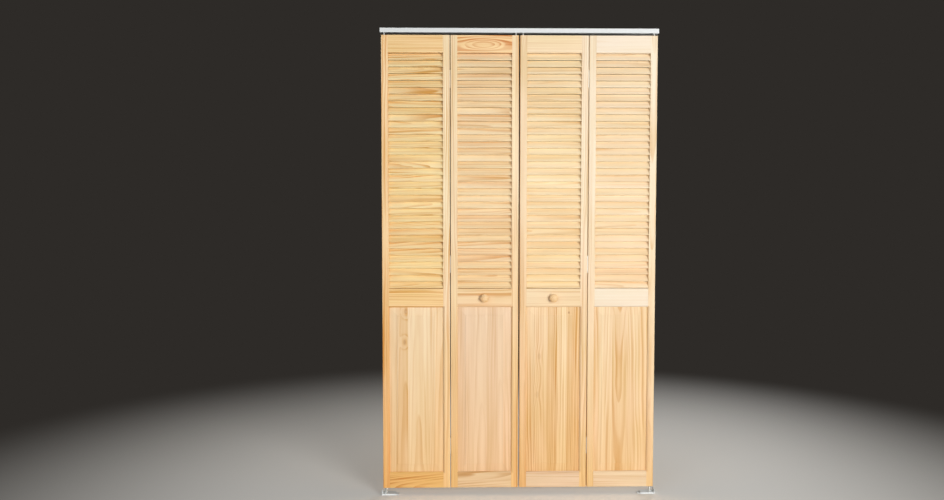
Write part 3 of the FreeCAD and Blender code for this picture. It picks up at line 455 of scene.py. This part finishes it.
def makeSlatTree(s, cut):
    floatIn = "NodeSocketFloat"
    tree, given, result = newGroup(
        "louvreSlats", "GeometryNodeTree",
        [("Length", floatIn), ("Width", floatIn), ("Thickness", floatIn), ("Ease", floatIn),
         ("Count", "NodeSocketInt"), ("First", "NodeSocketVector"), ("Pitch", floatIn), ("Turn", floatIn),
         ("Tone Low", floatIn), ("Tone High", floatIn), ("Seed", "NodeSocketInt"),
         ("Wood", "NodeSocketMaterial")],
        [("Geometry", "NodeSocketGeometry")])
    section = addNode(tree, "GeometryNodeCurvePrimitiveQuadrilateral", {},
                      {"Width": given["Width"], "Height": given["Thickness"]})
    eased = addNode(tree, "GeometryNodeFilletCurve", {"mode": "POLY"},
                    {"Curve": section, "Count": s["easeSteps"], "Radius": given["Ease"],
                     "Limit Radius": True})
    ends = []
    for share in (-0.5, 0.5):
        reach = addNode(tree, "ShaderNodeMath", times, {0: given["Length"], 1: share})
        ends.append(addNode(tree, "ShaderNodeCombineXYZ", {}, {"X": reach}))
    line = addNode(tree, "GeometryNodeCurvePrimitiveLine", {}, {"Start": ends[0], "End": ends[1]})
    upright = addNode(tree, "GeometryNodeSetCurveNormal", {"mode": "Z_UP"}, {"Curve": line})
    swept = addNode(tree, "GeometryNodeCurveToMesh", {},
                    {"Curve": upright, "Profile Curve": eased, "Fill Caps": True})
    here = addNode(tree, "GeometryNodeInputPosition")
    placed = addNode(tree, "GeometryNodeStoreNamedAttribute",
                     {"data_type": "FLOAT_VECTOR", "domain": "POINT"},
                     {"Geometry": swept, "Name": "grainPlace", "Value": here})
    step = addNode(tree, "ShaderNodeCombineXYZ", {}, {"Z": given["Pitch"]})
    points = addNode(tree, "GeometryNodeMeshLine", {},
                     {"Count": given["Count"], "Start Location": given["First"], "Offset": step})
    turn = addNode(tree, "ShaderNodeCombineXYZ", {}, {"X": given["Turn"]})
    slats = addNode(tree, "GeometryNodeInstanceOnPoints", {},
                    {"Points": points, "Instance": placed, "Rotation": turn})
    shift = addNode(tree, "FunctionNodeRandomValue", {"data_type": "FLOAT_VECTOR"},
                    {0: (-cut["across"], -cut["deep"], 0), 1: (cut["across"], cut["deep"], cut["along"]),
                     "Seed": given["Seed"]})
    shifted = addNode(tree, "GeometryNodeStoreNamedAttribute",
                      {"data_type": "FLOAT_VECTOR", "domain": "INSTANCE"},
                      {"Geometry": slats, "Name": "grainShift", "Value": shift})
    toneSeed = addNode(tree, "ShaderNodeMath", {}, {0: given["Seed"], 1: s["toneSeed"]})
    tone = addNode(tree, "FunctionNodeRandomValue", {"data_type": "FLOAT"},
                   {2: given["Tone Low"], 3: given["Tone High"], "Seed": toneSeed}, 1)
    toned = addNode(tree, "GeometryNodeStoreNamedAttribute",
                    {"data_type": "FLOAT", "domain": "INSTANCE"},
                    {"Geometry": shifted, "Name": "slatTone", "Value": tone})
    return finishTree(tree, result, toned, given["Wood"])


def growPiece(name, tree, values, mesh=None):  # runs a tree and keeps its result as a plain mesh
    piece = bpy.data.objects.new(name, mesh or bpy.data.meshes.new(name + "Start"))
    scene.collection.objects.link(piece)
    modifier = piece.modifiers.new("grow", "NODES")
    modifier.node_group = tree
    for item in tree.interface.items_tree:
        if item.in_out == "INPUT" and item.name in values:
            modifier[item.identifier] = values[item.name]
    graph = bpy.context.evaluated_depsgraph_get()
    grown = bpy.data.meshes.new_from_object(piece.evaluated_get(graph), preserve_all_data_layers=True,
                                            depsgraph=graph)
    piece.modifiers.remove(modifier)
    piece.data = grown
    grown.name = name
    return piece


slatTree = makeSlatTree(slatSettings, slatCut)
for number, (leaf, tones) in enumerate(leafTonesAndPaintedLight.items()):
    s = slatSettings
    nodeName = f"{leaf}_leaf_louvre_slats"
    low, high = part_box(nodeName)
    middle = (low + high) / 2
    grain = {"tones": tones["slats"], **slatGrain, **boldSlats.get(leaf, {})}
    wood = pineBoard(f"sawnPine_{leaf}_slats", grain, seed=number * s["figureStep"])
    slats = growPiece(f"{leaf}_slats", slatTree, {
        "Length": high.x - low.x, "Width": s["width"], "Thickness": s["thickness"], "Ease": s["ease"],
        "Count": s["count"], "First": middle - Vector((0, 0, s["pitch"] * (s["count"] - 1) / 2)),
        "Pitch": s["pitch"], "Turn": math.radians(90 - s["tilt"]), "Tone Low": s["toneLow"],
        "Tone High": s["toneHigh"], "Seed": s["seed"] + number, "Wood": wood})
    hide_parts(nodeName)
    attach(slats, f"{leaf}_leaf")
print("slats in place")


# Turned pine knob: the grain runs out of the rail, so its face shows end grain

knobSettings = {
    "early": "#f7d6a6",
    "late": "#dba05a",
    "ring": 3.4,  # mm
    "pith": (9, 6),  # mm from the knob's axis
    "taper": 0.02,
    "waver": 3.0,
    "seed": 4.0,
    "lateShare": 0.65,
    "fibreShare": 0.3,
    "base": -0.1,  # keeps the wood between the rings pale
    "roughness": 0.46,  # turned and sanded, smoother than the boards
    "fibreRoughness": 0.12,
    "bump": 0.2,
    "grainDepth": 0.0002,
    "specular": 0.4,
}


def turnedPine(name, middle, s):
    material, tree, shader = newMaterial(name)
    place = addNode(tree, "ShaderNodeTexCoord", out="Object")
    local = addNode(tree, "ShaderNodeVectorMath", minus, {0: place, 1: middle})
    board = addNode(tree, "ShaderNodeMapping", {},
                    {"Vector": local, "Rotation": (math.pi / 2, 0, 0), "Scale": (mm, mm, mm)})
    figure = addNode(tree, "ShaderNodeGroup", {"node_tree": pineFigure},
                     {"Board": board, "Pith": (*s["pith"], 0), "Ring": s["ring"], "Taper": s["taper"],
                      "Waver": s["waver"], "Bend": 0.0, "Seed": s["seed"] + middle.x})
    lateLine, fibre = figure.node.outputs[:2]
    share = addNode(tree, "ShaderNodeMath", timesPlus, {0: lateLine, 1: s["lateShare"], 2: s["base"]})
    mixed = addNode(tree, "ShaderNodeMath", timesPlus, {0: fibre, 1: s["fibreShare"], 2: share})
    colour = addNode(tree, "ShaderNodeMix", mixColours,
                     {0: mixed, 6: srgb(s["early"]), 7: srgb(s["late"])}, 2)
    rough = addNode(tree, "ShaderNodeMath", timesPlus,
                    {0: fibre, 1: s["fibreRoughness"], 2: s["roughness"]})
    bump = addNode(tree, "ShaderNodeBump", {},
                   {"Height": fibre, "Strength": s["bump"], "Distance": s["grainDepth"]})
    plug(tree, shader, {"Base Color": colour, "Roughness": rough, "Normal": bump,
                        "Specular IOR Level": s["specular"]})
    return material


for side in sides:
    low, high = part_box(f"{side}_knob")
    dress(f"{side}_knob", turnedPine(f"turnedPine_{side}Knob", (low + high) / 2, knobSettings))
print("knobs dressed")


# Metal and plastic finishes, each with a faint cloud in its colour, gloss and surface

finishSettings = {
    "whiteEnamelledSteel": {  # stoved enamel, glossy with a faint orange peel
        "colour": "#e6eaeb", "shade": "#dde3e4", "metallic": 0.0, "roughness": 0.34,
        "cloud": 0.003, "bumpDepth": 0.00008, "coat": 0.25},
    "zincPlatedSteel": {  # bright plate with a cloudy spangle
        "colour": "#e2e3e0", "shade": "#c4c6c2", "metallic": 0.45, "roughness": 0.42,
        "cloud": 0.0035, "bumpDepth": 0.00003, "coat": 0.0},
    "springSteel": {  # drawn wire, darker and with sharper lights
        "colour": "#b3b1aa", "shade": "#8f8c84", "metallic": 1.0, "roughness": 0.3,
        "cloud": 0.004, "bumpDepth": 0.00002, "coat": 0.0},
    "whiteNylon": {  # moulded, with a waxy sheen
        "colour": "#f0efe9", "shade": "#e6e4dc", "metallic": 0.0, "roughness": 0.48,
        "cloud": 0.004, "bumpDepth": 0.00004, "coat": 0.0},
}
cloudSettings = {
    "detail": 4.0,
    "breakup": 0.6,
    "levels": (0.25, 0.75),  # noise levels between which the gloss changes
    "smoother": 0.06,  # and how far it does so
    "rougher": 0.08,
    "bump": 0.3,
}


def cloudedFinish(name, s, c):
    material, tree, shader = newMaterial(name)
    place = addNode(tree, "ShaderNodeTexCoord", out="Object")
    cloud = addNode(tree, "ShaderNodeTexNoise", {},
                    {"Vector": place, "Scale": 1 / s["cloud"], "Detail": c["detail"],
                     "Roughness": c["breakup"]})
    mixed = addNode(tree, "ShaderNodeMix", mixColours,
                    {0: cloud, 6: srgb(s["colour"]), 7: srgb(s["shade"])}, 2)
    least, most = c["levels"]
    rough = addNode(tree, "ShaderNodeMapRange", {},
                    {"Value": cloud, "From Min": least, "From Max": most,
                     "To Min": s["roughness"] - c["smoother"], "To Max": s["roughness"] + c["rougher"]})
    bump = addNode(tree, "ShaderNodeBump", {},
                   {"Height": cloud, "Strength": c["bump"], "Distance": s["bumpDepth"]})
    plug(tree, shader, {"Base Color": mixed, "Roughness": rough, "Normal": bump,
                        "Metallic": s["metallic"], "Coat Weight": s["coat"]})
    return material


finish = {name: cloudedFinish(name, s, cloudSettings) for name, s in finishSettings.items()}
zincPlate = finish["zincPlatedSteel"]

trackSettings = {
    "enamel": "#e6eaeb",
    "zinc": "#8f918f",
    "halfWall": 0.0006,
    "cloud": 0.004,
    "dull": (0.9, 1.06),  # least and most of the colour's own brightness
    "roughness": 0.27,
    "cloudRoughness": 0.15,
    "bumpDepth": 0.00006,
}


def enamelledTrack(name, s, c):  # enamelled on its face side, so the inside of the channel is bare zinc; its darker colour there is partly painted shade, for the shade inside the channel
    material, tree, shader = newMaterial(name)
    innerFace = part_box("track")[1] - Vector((0, s["halfWall"], s["halfWall"]))
    place = addNode(tree, "ShaderNodeTexCoord", out="Object")
    depth, height = addNode(tree, "ShaderNodeSeparateXYZ", {}, {0: place}).node.outputs[1:]
    aside = addNode(tree, "ShaderNodeMath", {"operation": "ABSOLUTE"}, {0: depth})
    between = addNode(tree, "ShaderNodeMath", {"operation": "LESS_THAN"}, {0: aside, 1: innerFace.y})
    below = addNode(tree, "ShaderNodeMath", {"operation": "LESS_THAN"}, {0: height, 1: innerFace.z})
    # partly painted shade: the inside of the channel takes the darker bare zinc
    bareShadedInside = addNode(tree, "ShaderNodeMath", times, {0: between, 1: below})
    cloud = addNode(tree, "ShaderNodeTexNoise", {},
                    {"Vector": place, "Scale": 1 / s["cloud"], "Detail": c["detail"]})
    least, most = s["dull"]
    dulled = addNode(tree, "ShaderNodeMapRange", {}, {"Value": cloud, "To Min": least, "To Max": most})
    painted = addNode(tree, "ShaderNodeMix", mixColours,
                      {0: bareShadedInside, 6: srgb(s["enamel"]), 7: srgb(s["zinc"])}, 2)
    colour = addNode(tree, "ShaderNodeHueSaturation", {}, {"Value": dulled, "Color": painted})
    rough = addNode(tree, "ShaderNodeMath", timesPlus,
                    {0: cloud, 1: s["cloudRoughness"], 2: s["roughness"]})
    bump = addNode(tree, "ShaderNodeBump", {},
                   {"Height": cloud, "Strength": c["bump"], "Distance": s["bumpDepth"]})
    plug(tree, shader, {"Base Color": colour, "Metallic": bareShadedInside, "Roughness": rough, "Normal": bump})
    return material


dress("track", enamelledTrack("whiteEnamelledStrip", trackSettings, cloudSettings))
dress("floor_brackets", finish["whiteEnamelledSteel"])
dress("top_pivot_brackets", zincPlate)
zincParts = ("hinge_leaves_pivot_side", "hinge_leaves_guide_side", "hinge_pins", "top_pivot_pin",
             "guide_pin")
nylonParts = ("top_pivot_sleeve", "guide_sleeve", "guide_roller")
for side in sides:
    for part in zincParts:
        dress(f"{side}_{part}", zincPlate)
    for part in nylonParts:
        dress(f"{side}_{part}", finish["whiteNylon"])
print("hardware dressed")


# Screws: a lathe-turned blank with a cross recess, set out by a tree with each one driven to its own angle

screwSettings = {  # millimetres; a head with no dome is countersunk
    "hinge": {"headRadius": 3.0, "headHeight": 1.5, "shankRadius": 1.5, "length": 16,
              "dome": 0, "recess": 1.7, "seed": 5},
    "knob": {"headRadius": 4.0, "headHeight": 2.5, "shankRadius": 2.0, "length": 41,
             "dome": 0.9, "recess": 2.2, "seed": 3},
    "clamp": {"headRadius": 4.5, "headHeight": 3.0, "shankRadius": 2.5, "length": 15.2,
              "dome": 1.0, "recess": 2.6, "seed": 8},
}
threadSettings = {
    "neck": 1.0,  # mm of plain shank under the head
    "pitch": 1.1,
    "root": 0.78,  # radius between the threads, as a share of the shank's
    "runOut": 2.5,  # mm before the tip at which the thread stops
    "shoulder": 0.7,  # radius where the point starts, as a share of the shank's
    "point": 1.5,  # mm
    "tipRadius": 0.05,
    "around": 20,
}
crossSettings = {
    "slot": 0.3,  # half width of an arm, as a share of its length
    "deepest": 1.3,  # mm
    "headShare": 0.8,  # most of the head's height that the cross goes down
    "taper": 0.55,  # bottom of the cross against its mouth
}


def screwBlank(name, s, t, c):  # millimetres, head up; the head's crown is at zero height
    profile = [(s["headRadius"], -s["dome"])]
    if s["dome"]:
        profile.append((s["headRadius"], -s["headHeight"]))
    profile.append((s["shankRadius"], -s["headHeight"]))
    height = -s["headHeight"] - t["neck"]
    while height > -s["length"] + t["runOut"]:
        profile += [(s["shankRadius"], height), (s["shankRadius"] * t["root"], height - t["pitch"] / 2)]
        height -= t["pitch"]
    profile += [(s["shankRadius"] * t["shoulder"], -s["length"] + t["point"]),
                (t["tipRadius"], -s["length"])]
    around = t["around"]
    angles = [2 * math.pi * i / around for i in range(around)]
    bm = bmesh.new()
    rings = []
    for radius, z in profile:
        rings.append([bm.verts.new((radius * math.cos(a), radius * math.sin(a), z)) for a in angles])
    for upper, lower in zip(rings, rings[1:]):
        for i in range(around):
            j = (i + 1) % around
            bm.faces.new((upper[i], lower[i], lower[j], upper[j]))
    bm.faces.new(list(reversed(rings[-1])))
    arm, slot = s["recess"], s["recess"] * c["slot"]  # the cross: four arms about the axis
    cross = []
    for quarter in range(4):
        turn = Matrix.Rotation(quarter * math.pi / 2, 3, "Z")
        cross += [turn @ Vector(p) for p in ((arm, -slot, 0), (arm, slot, 0), (slot, slot, 0))]
    mouth = [bm.verts.new(p) for p in cross]
    floorDepth = Vector((0, 0, -min(c["deepest"], s["headHeight"] * c["headShare"])))
    bottom = [bm.verts.new(p * c["taper"] + floorDepth) for p in cross]
    count = len(mouth)
    for i in range(count):
        j = (i + 1) % count
        bm.faces.new((mouth[i], mouth[j], bottom[j], bottom[i]))
    bm.faces.new(bottom)
    topEdges = [bm.edges.get((rings[0][i], rings[0][(i + 1) % around])) for i in range(around)]
    mouthEdges = [bm.edges.get((mouth[i], mouth[(i + 1) % count])) for i in range(count)]
    bmesh.ops.triangle_fill(bm, use_beauty=True, edges=topEdges + mouthEdges)
    bmesh.ops.scale(bm, vec=[1 / mm] * 3, verts=bm.verts)
    bmesh.ops.recalc_face_normals(bm, faces=bm.faces)
    mesh = bpy.data.meshes.new(name)
    bm.to_mesh(mesh)
    bm.free()
    blank = bpy.data.objects.new(name, mesh)
    scene.collection.objects.link(blank)
    return blank


def makeScrewTree():
    tree, given, result = newGroup(
        "drivenScrews", "GeometryNodeTree",
        [("Geometry", "NodeSocketGeometry"), ("Blank", "NodeSocketObject"), ("Aim", "NodeSocketVector"),
         ("Seed", "NodeSocketInt"), ("Metal", "NodeSocketMaterial")],
        [("Geometry", "NodeSocketGeometry")])
    blank = addNode(tree, "GeometryNodeObjectInfo", {}, {"Object": given["Blank"]}, "Geometry")
    screws = addNode(tree, "GeometryNodeInstanceOnPoints", {},
                     {"Points": given["Geometry"], "Instance": blank, "Rotation": given["Aim"]})
    angle = addNode(tree, "FunctionNodeRandomValue", {"data_type": "FLOAT"},
                    {2: 0.0, 3: math.pi, "Seed": given["Seed"]}, 1)
    spin = addNode(tree, "ShaderNodeCombineXYZ", {}, {"Z": angle})
    driven = addNode(tree, "GeometryNodeRotateInstances", {}, {"Instances": screws, "Rotation": spin})
    return finishTree(tree, result, driven, given["Metal"])


def driveScrews(name, kind, aim, points, seedShift=0):
    places = bpy.data.meshes.new("screwPlaces")
    places.from_pydata(points, [], [])
    return growPiece(name, screwTree, {
        "Blank": blanks[kind], "Aim": aim, "Seed": screwSettings[kind]["seed"] + seedShift,
        "Metal": zincPlate}, places)


hingeSettings = {
    "height": 0.075,
    "play": 0.0001,  # half of the gap between the plates
    "screwLine": 0.00025,
    "spread": 0.023,  # screws above and below the hinge's middle
}
knobScrewCrown = 0.01175  # metres behind the middle of the rail, in its counterbore

screwTree = makeScrewTree()
blanks = {kind: screwBlank(kind + "ScrewBlank", s, threadSettings, crossSettings)
          for kind, s in screwSettings.items()}
for side, sign in sides.items():
    h = hingeSettings
    pinLow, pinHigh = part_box(f"{side}_hinge_pins")
    hinge = (pinLow + pinHigh) / 2
    rise = (pinHigh.z - pinLow.z - h["height"]) / 2
    for leaf, away in (("pivot", 1), ("guide", -1)):  # the pivot leaf is the outer one
        x = hinge.x + sign * away * h["play"]
        heights = [hinge.z + level * rise + step * h["spread"] for level in (-1, 0, 1) for step in (-1, 1)]
        screws = driveScrews(f"{side}_{leaf}_hinge_screws", "hinge", (0, -sign * away * math.pi / 2, 0),
                             [(x, h["screwLine"], z) for z in heights], away + sign)
        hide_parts(f"{side}_{leaf}_leaf_screws")
        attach(screws, f"{side}_{leaf}_leaf")
    knobLow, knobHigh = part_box(f"{side}_knob")
    head = ((knobLow.x + knobHigh.x) / 2, knobScrewCrown, (knobLow.z + knobHigh.z) / 2)
    screw = driveScrews(f"{side}_knob_screw", "knob", (-math.pi / 2, 0, 0), [head])
    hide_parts(f"{side}_guide_leaf_screws")
    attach(screw, f"{side}_guide_leaf")

clampLow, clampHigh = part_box("top_bracket_screws")
clampReach = clampHigh.x - screwSettings["clamp"]["headRadius"] / mm
clamps = driveScrews("bracket_clamp_screws", "clamp", (math.pi, 0, 0),
                     [(sign * clampReach, 0, clampLow.z) for sign in sides.values()])
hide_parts("top_bracket_screws")
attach(clamps, "fixed_hardware")
for blank in blanks.values():
    bpy.data.objects.remove(blank)
print("screws driven")


# Coil springs under the sprung pins

springSettings = {
    "wire": 0.0009,
    "turns": 13,
    "perTurn": 18,  # points along a turn
    "around": 8,  # sides of the wire
    "travel": {"top_pivot": 0.010, "guide": 0.0084},
}


def makeSpringTree(s):
    floatIn = "NodeSocketFloat"
    tree, given, result = newGroup(
        "coilSpring", "GeometryNodeTree",
        [("Radius", floatIn), ("Height", floatIn), ("Turns", floatIn), ("Wire", floatIn),
         ("Foot", "NodeSocketVector"), ("Metal", "NodeSocketMaterial")],
        [("Geometry", "NodeSocketGeometry")])
    coil = addNode(tree, "GeometryNodeCurveSpiral", {},
                   {"Resolution": s["perTurn"], "Rotations": given["Turns"],
                    "Start Radius": given["Radius"], "End Radius": given["Radius"],
                    "Height": given["Height"]})
    halfWire = addNode(tree, "ShaderNodeMath", times, {0: given["Wire"], 1: 0.5})
    section = addNode(tree, "GeometryNodeCurvePrimitiveCircle", {"mode": "RADIUS"},
                      {"Resolution": s["around"], "Radius": halfWire})
    swept = addNode(tree, "GeometryNodeCurveToMesh", {},
                    {"Curve": coil, "Profile Curve": section, "Fill Caps": True})
    stood = addNode(tree, "GeometryNodeTransform", {}, {"Geometry": swept, "Translation": given["Foot"]})
    return finishTree(tree, result, stood, given["Metal"])


springTree = makeSpringTree(springSettings)
for side in sides:
    for pin, leaf in (("top_pivot", "pivot"), ("guide", "guide")):
        s = springSettings
        low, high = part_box(f"{side}_{pin}_spring")
        free = high.z - low.z
        foot = Vector(((low.x + high.x) / 2, 0, low.z + s["wire"] / 2))
        spring = growPiece(f"{side}_{pin}_coil", springTree, {
            "Radius": (high.x - low.x - s["wire"]) / 2, "Height": free - s["wire"], "Turns": s["turns"],
            "Wire": s["wire"], "Foot": foot, "Metal": finish["springSteel"]})
        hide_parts(f"{side}_{pin}_spring")
        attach(spring, f"{side}_{leaf}_leaf")
        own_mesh(spring)
print("springs wound")


# Bottom pivots: a chamfered hex collar on a threaded shank, with a plain tip in the bracket's teeth

footSettings = {  # millimetres
    "tipRadius": 3.5,
    "tipChamfer": 0.6,
    "hexAcross": 13,
    "hexBottom": 6.3,
    "hexTop": 12.8,
    "hexChamfer": 0.5,
    "shankRadius": 4.75,
    "threadPitch": 1.6,
    "threadDepth": 0.75,
    "threadSteps": 4,  # rows of points in one turn of the thread
    "overlap": 0.2,  # how far the tip and the shank run into the collar
    "around": 24,
}


def bottomPivot(name, low, high, s):  # low and high are the corners of its space, in millimetres
    x, around, hexSides = (low.x + high.x) / 2, s["around"], 6
    bm = bmesh.new()

    def skin(rings):  # joins rings of equal length and closes both ends
        loops = [[bm.verts.new(point) for point in ring] for ring in rings]
        for lower, upper in zip(loops, loops[1:]):
            for i in range(len(lower)):
                j = (i + 1) % len(lower)
                bm.faces.new((lower[i], lower[j], upper[j], upper[i]))
        bm.faces.new(list(reversed(loops[0])))
        bm.faces.new(loops[-1])

    def ring(radius, z, count=around):
        angles = [2 * math.pi * i / count for i in range(count)]
        return [(x + radius * math.cos(a), radius * math.sin(a), z) for a in angles]

    tip, ease = s["tipRadius"], s["tipChamfer"]
    skin([ring(tip - ease, low.z), ring(tip, low.z + ease), ring(tip, s["hexBottom"] + s["overlap"])])
    corner, bevel = s["hexAcross"] / 2 / math.cos(math.pi / hexSides), s["hexChamfer"]
    skin([ring(corner - bevel, s["hexBottom"], hexSides), ring(corner, s["hexBottom"] + bevel, hexSides),
          ring(corner, s["hexTop"] - bevel, hexSides), ring(corner - bevel, s["hexTop"], hexSides)])
    rows = []
    z = s["hexTop"] - s["overlap"]
    while z <= high.z:
        row = []
        for i in range(around):
            phase = (z / s["threadPitch"] - i / around) % 1
            radius = s["shankRadius"] - s["threadDepth"] * abs(2 * phase - 1)
            angle = 2 * math.pi * i / around
            row.append((x + radius * math.cos(angle), radius * math.sin(angle), z))
        rows.append(row)
        z += s["threadPitch"] / s["threadSteps"]
    skin(rows)
    bmesh.ops.scale(bm, vec=[1 / mm] * 3, verts=bm.verts)
    mesh = bpy.data.meshes.new(name)
    bm.to_mesh(mesh)
    bm.free()
    mesh.materials.append(zincPlate)
    piece = bpy.data.objects.new(name, mesh)
    scene.collection.objects.link(piece)
    return piece


for side in sides:
    low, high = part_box(f"{side}_bottom_pivot")
    foot = bottomPivot(f"{side}_threaded_foot", low * mm, high * mm, footSettings)
    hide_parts(f"{side}_bottom_pivot")
    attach(foot, f"{side}_pivot_leaf")
print("bottom pivots in place")


# Stage: a pale floor that runs into a darker backdrop, two wide soft lamps near the camera and one behind

stageSettings = {
    "floor": "#dedbd5",
    "floorLift": 0.15,  # glow that only the camera and mirrors see, because the lamps graze the floor
    "floorRoughness": 0.9,
    "floorDrop": 0.0003,  # keeps the floor clear of the brackets that stand on it
    "backdrop": "#2e2b28",
    "fadeStart": 0.9,  # metres from the door over which the floor runs into the backdrop
    "fadeEnd": 3.2,
    "reach": 40,
    "world": 0.3,
    "worldBehind": 0.04,  # the studio is dark beyond the door
    "worldTurn": 0.3,  # how gently the one goes over into the other
}
lampSettings = {
    "key": {"place": (2.0, -4.4, 1.4), "aim": (0, 0, 1.3), "size": 2.2, "power": 178,
            "colour": "#fffdfa"},
    "fill": {"place": (-2.6, -4.2, 1.6), "aim": (0, 0, 1.6), "size": 2.4, "power": 40,
             "colour": "#fafbff"},
    "back": {"place": (3.2, 6.5, 0.8), "aim": (0, 0, 1.0), "size": 1.5, "power": 320,
             "colour": "#ffffff"},
}


def seenDirectly(tree):  # 1 for what the camera sees, straight or mirrored
    ray = addNode(tree, "ShaderNodeLightPath").node.outputs
    mirrored = addNode(tree, "ShaderNodeMath", {}, {0: ray["Is Glossy Ray"], 1: ray["Is Transmission Ray"]})
    return addNode(tree, "ShaderNodeMath", {}, {0: ray["Is Camera Ray"], 1: mirrored})


def makeFloor(s):
    mesh = bpy.data.meshes.new("paleFloor")
    corners = [(x * s["reach"], y * s["reach"], -s["floorDrop"])
               for x, y in ((-1, -1), (1, -1), (1, 1), (-1, 1))]
    mesh.from_pydata(corners, [], [(0, 1, 2, 3)])
    floor = bpy.data.objects.new("paleFloor", mesh)
    scene.collection.objects.link(floor)
    material, tree, shader = newMaterial("paleFloor")
    lift = addNode(tree, "ShaderNodeMath", times, {0: seenDirectly(tree), 1: s["floorLift"]})
    plug(tree, shader, {"Base Color": srgb(s["floor"]), "Roughness": s["floorRoughness"],
                        "Emission Color": srgb(s["floor"]), "Emission Strength": lift})
    place = addNode(tree, "ShaderNodeTexCoord", out="Object")
    away = addNode(tree, "ShaderNodeVectorMath", {"operation": "LENGTH"}, {0: place}, "Value")
    fade = addNode(tree, "ShaderNodeMapRange", {"interpolation_type": "SMOOTHSTEP"},
                   {"Value": away, "From Min": s["fadeStart"], "From Max": s["fadeEnd"]})
    far = addNode(tree, "ShaderNodeEmission", {}, {"Color": srgb(s["backdrop"]), "Strength": 1.0})
    both = addNode(tree, "ShaderNodeMixShader", {}, {0: fade, 1: shader.outputs[0], 2: far})
    plug(tree, next(n for n in tree.nodes if n.type == "OUTPUT_MATERIAL"), {"Surface": both})
    mesh.materials.append(material)


def addLamp(name, s):
    lamp = bpy.data.lights.new(name, "AREA")
    lamp.shape = "DISK"
    lamp.size = s["size"]
    lamp.energy = s["power"]
    lamp.color = srgb(s["colour"])[:3]
    holder = bpy.data.objects.new(name, lamp)
    scene.collection.objects.link(holder)
    holder.location = s["place"]
    holder.rotation_euler = (Vector(s["aim"]) - Vector(s["place"])).to_track_quat("-Z", "Y").to_euler()


def makeWorld(s):
    world = bpy.data.worlds.new("studio")
    scene.world = world
    world.use_nodes = True
    tree = world.node_tree
    tree.nodes.clear()
    towards = addNode(tree, "ShaderNodeTexCoord", out="Generated")
    depth = addNode(tree, "ShaderNodeSeparateXYZ", {}, {0: towards}, "Y")
    level = addNode(tree, "ShaderNodeMapRange", {"interpolation_type": "SMOOTHSTEP"},
                    {"Value": depth, "From Min": -s["worldTurn"], "From Max": s["worldTurn"],
                     "To Min": s["world"], "To Max": s["worldBehind"]})
    light = addNode(tree, "ShaderNodeBackground", {}, {"Color": (1, 1, 1, 1), "Strength": level})
    seen = addNode(tree, "ShaderNodeBackground", {}, {"Color": srgb(s["backdrop"]), "Strength": 1.0})
    both = addNode(tree, "ShaderNodeMixShader", {}, {0: seenDirectly(tree), 1: light, 2: seen})
    addNode(tree, "ShaderNodeOutputWorld", {}, {"Surface": both})


makeFloor(stageSettings)
for name, s in lampSettings.items():
    addLamp(name, s)
makeWorld(stageSettings)

cameraSettings = {"place": (-0.2827, -3.968, 1.3183), "pitch": 3.243, "yaw": -1.085,
                  "lens": 34.32, "sensor": 36}
camera = bpy.data.cameras.new("camera")
camera.sensor_width = cameraSettings["sensor"]
camera.lens = cameraSettings["lens"]
cameraHolder = bpy.data.objects.new("camera", camera)
scene.collection.objects.link(cameraHolder)
cameraHolder.location = cameraSettings["place"]
cameraHolder.rotation_euler = Euler((math.radians(90 - cameraSettings["pitch"]), 0,
                                     math.radians(cameraSettings["yaw"])))
scene.camera = cameraHolder
print("stage set")
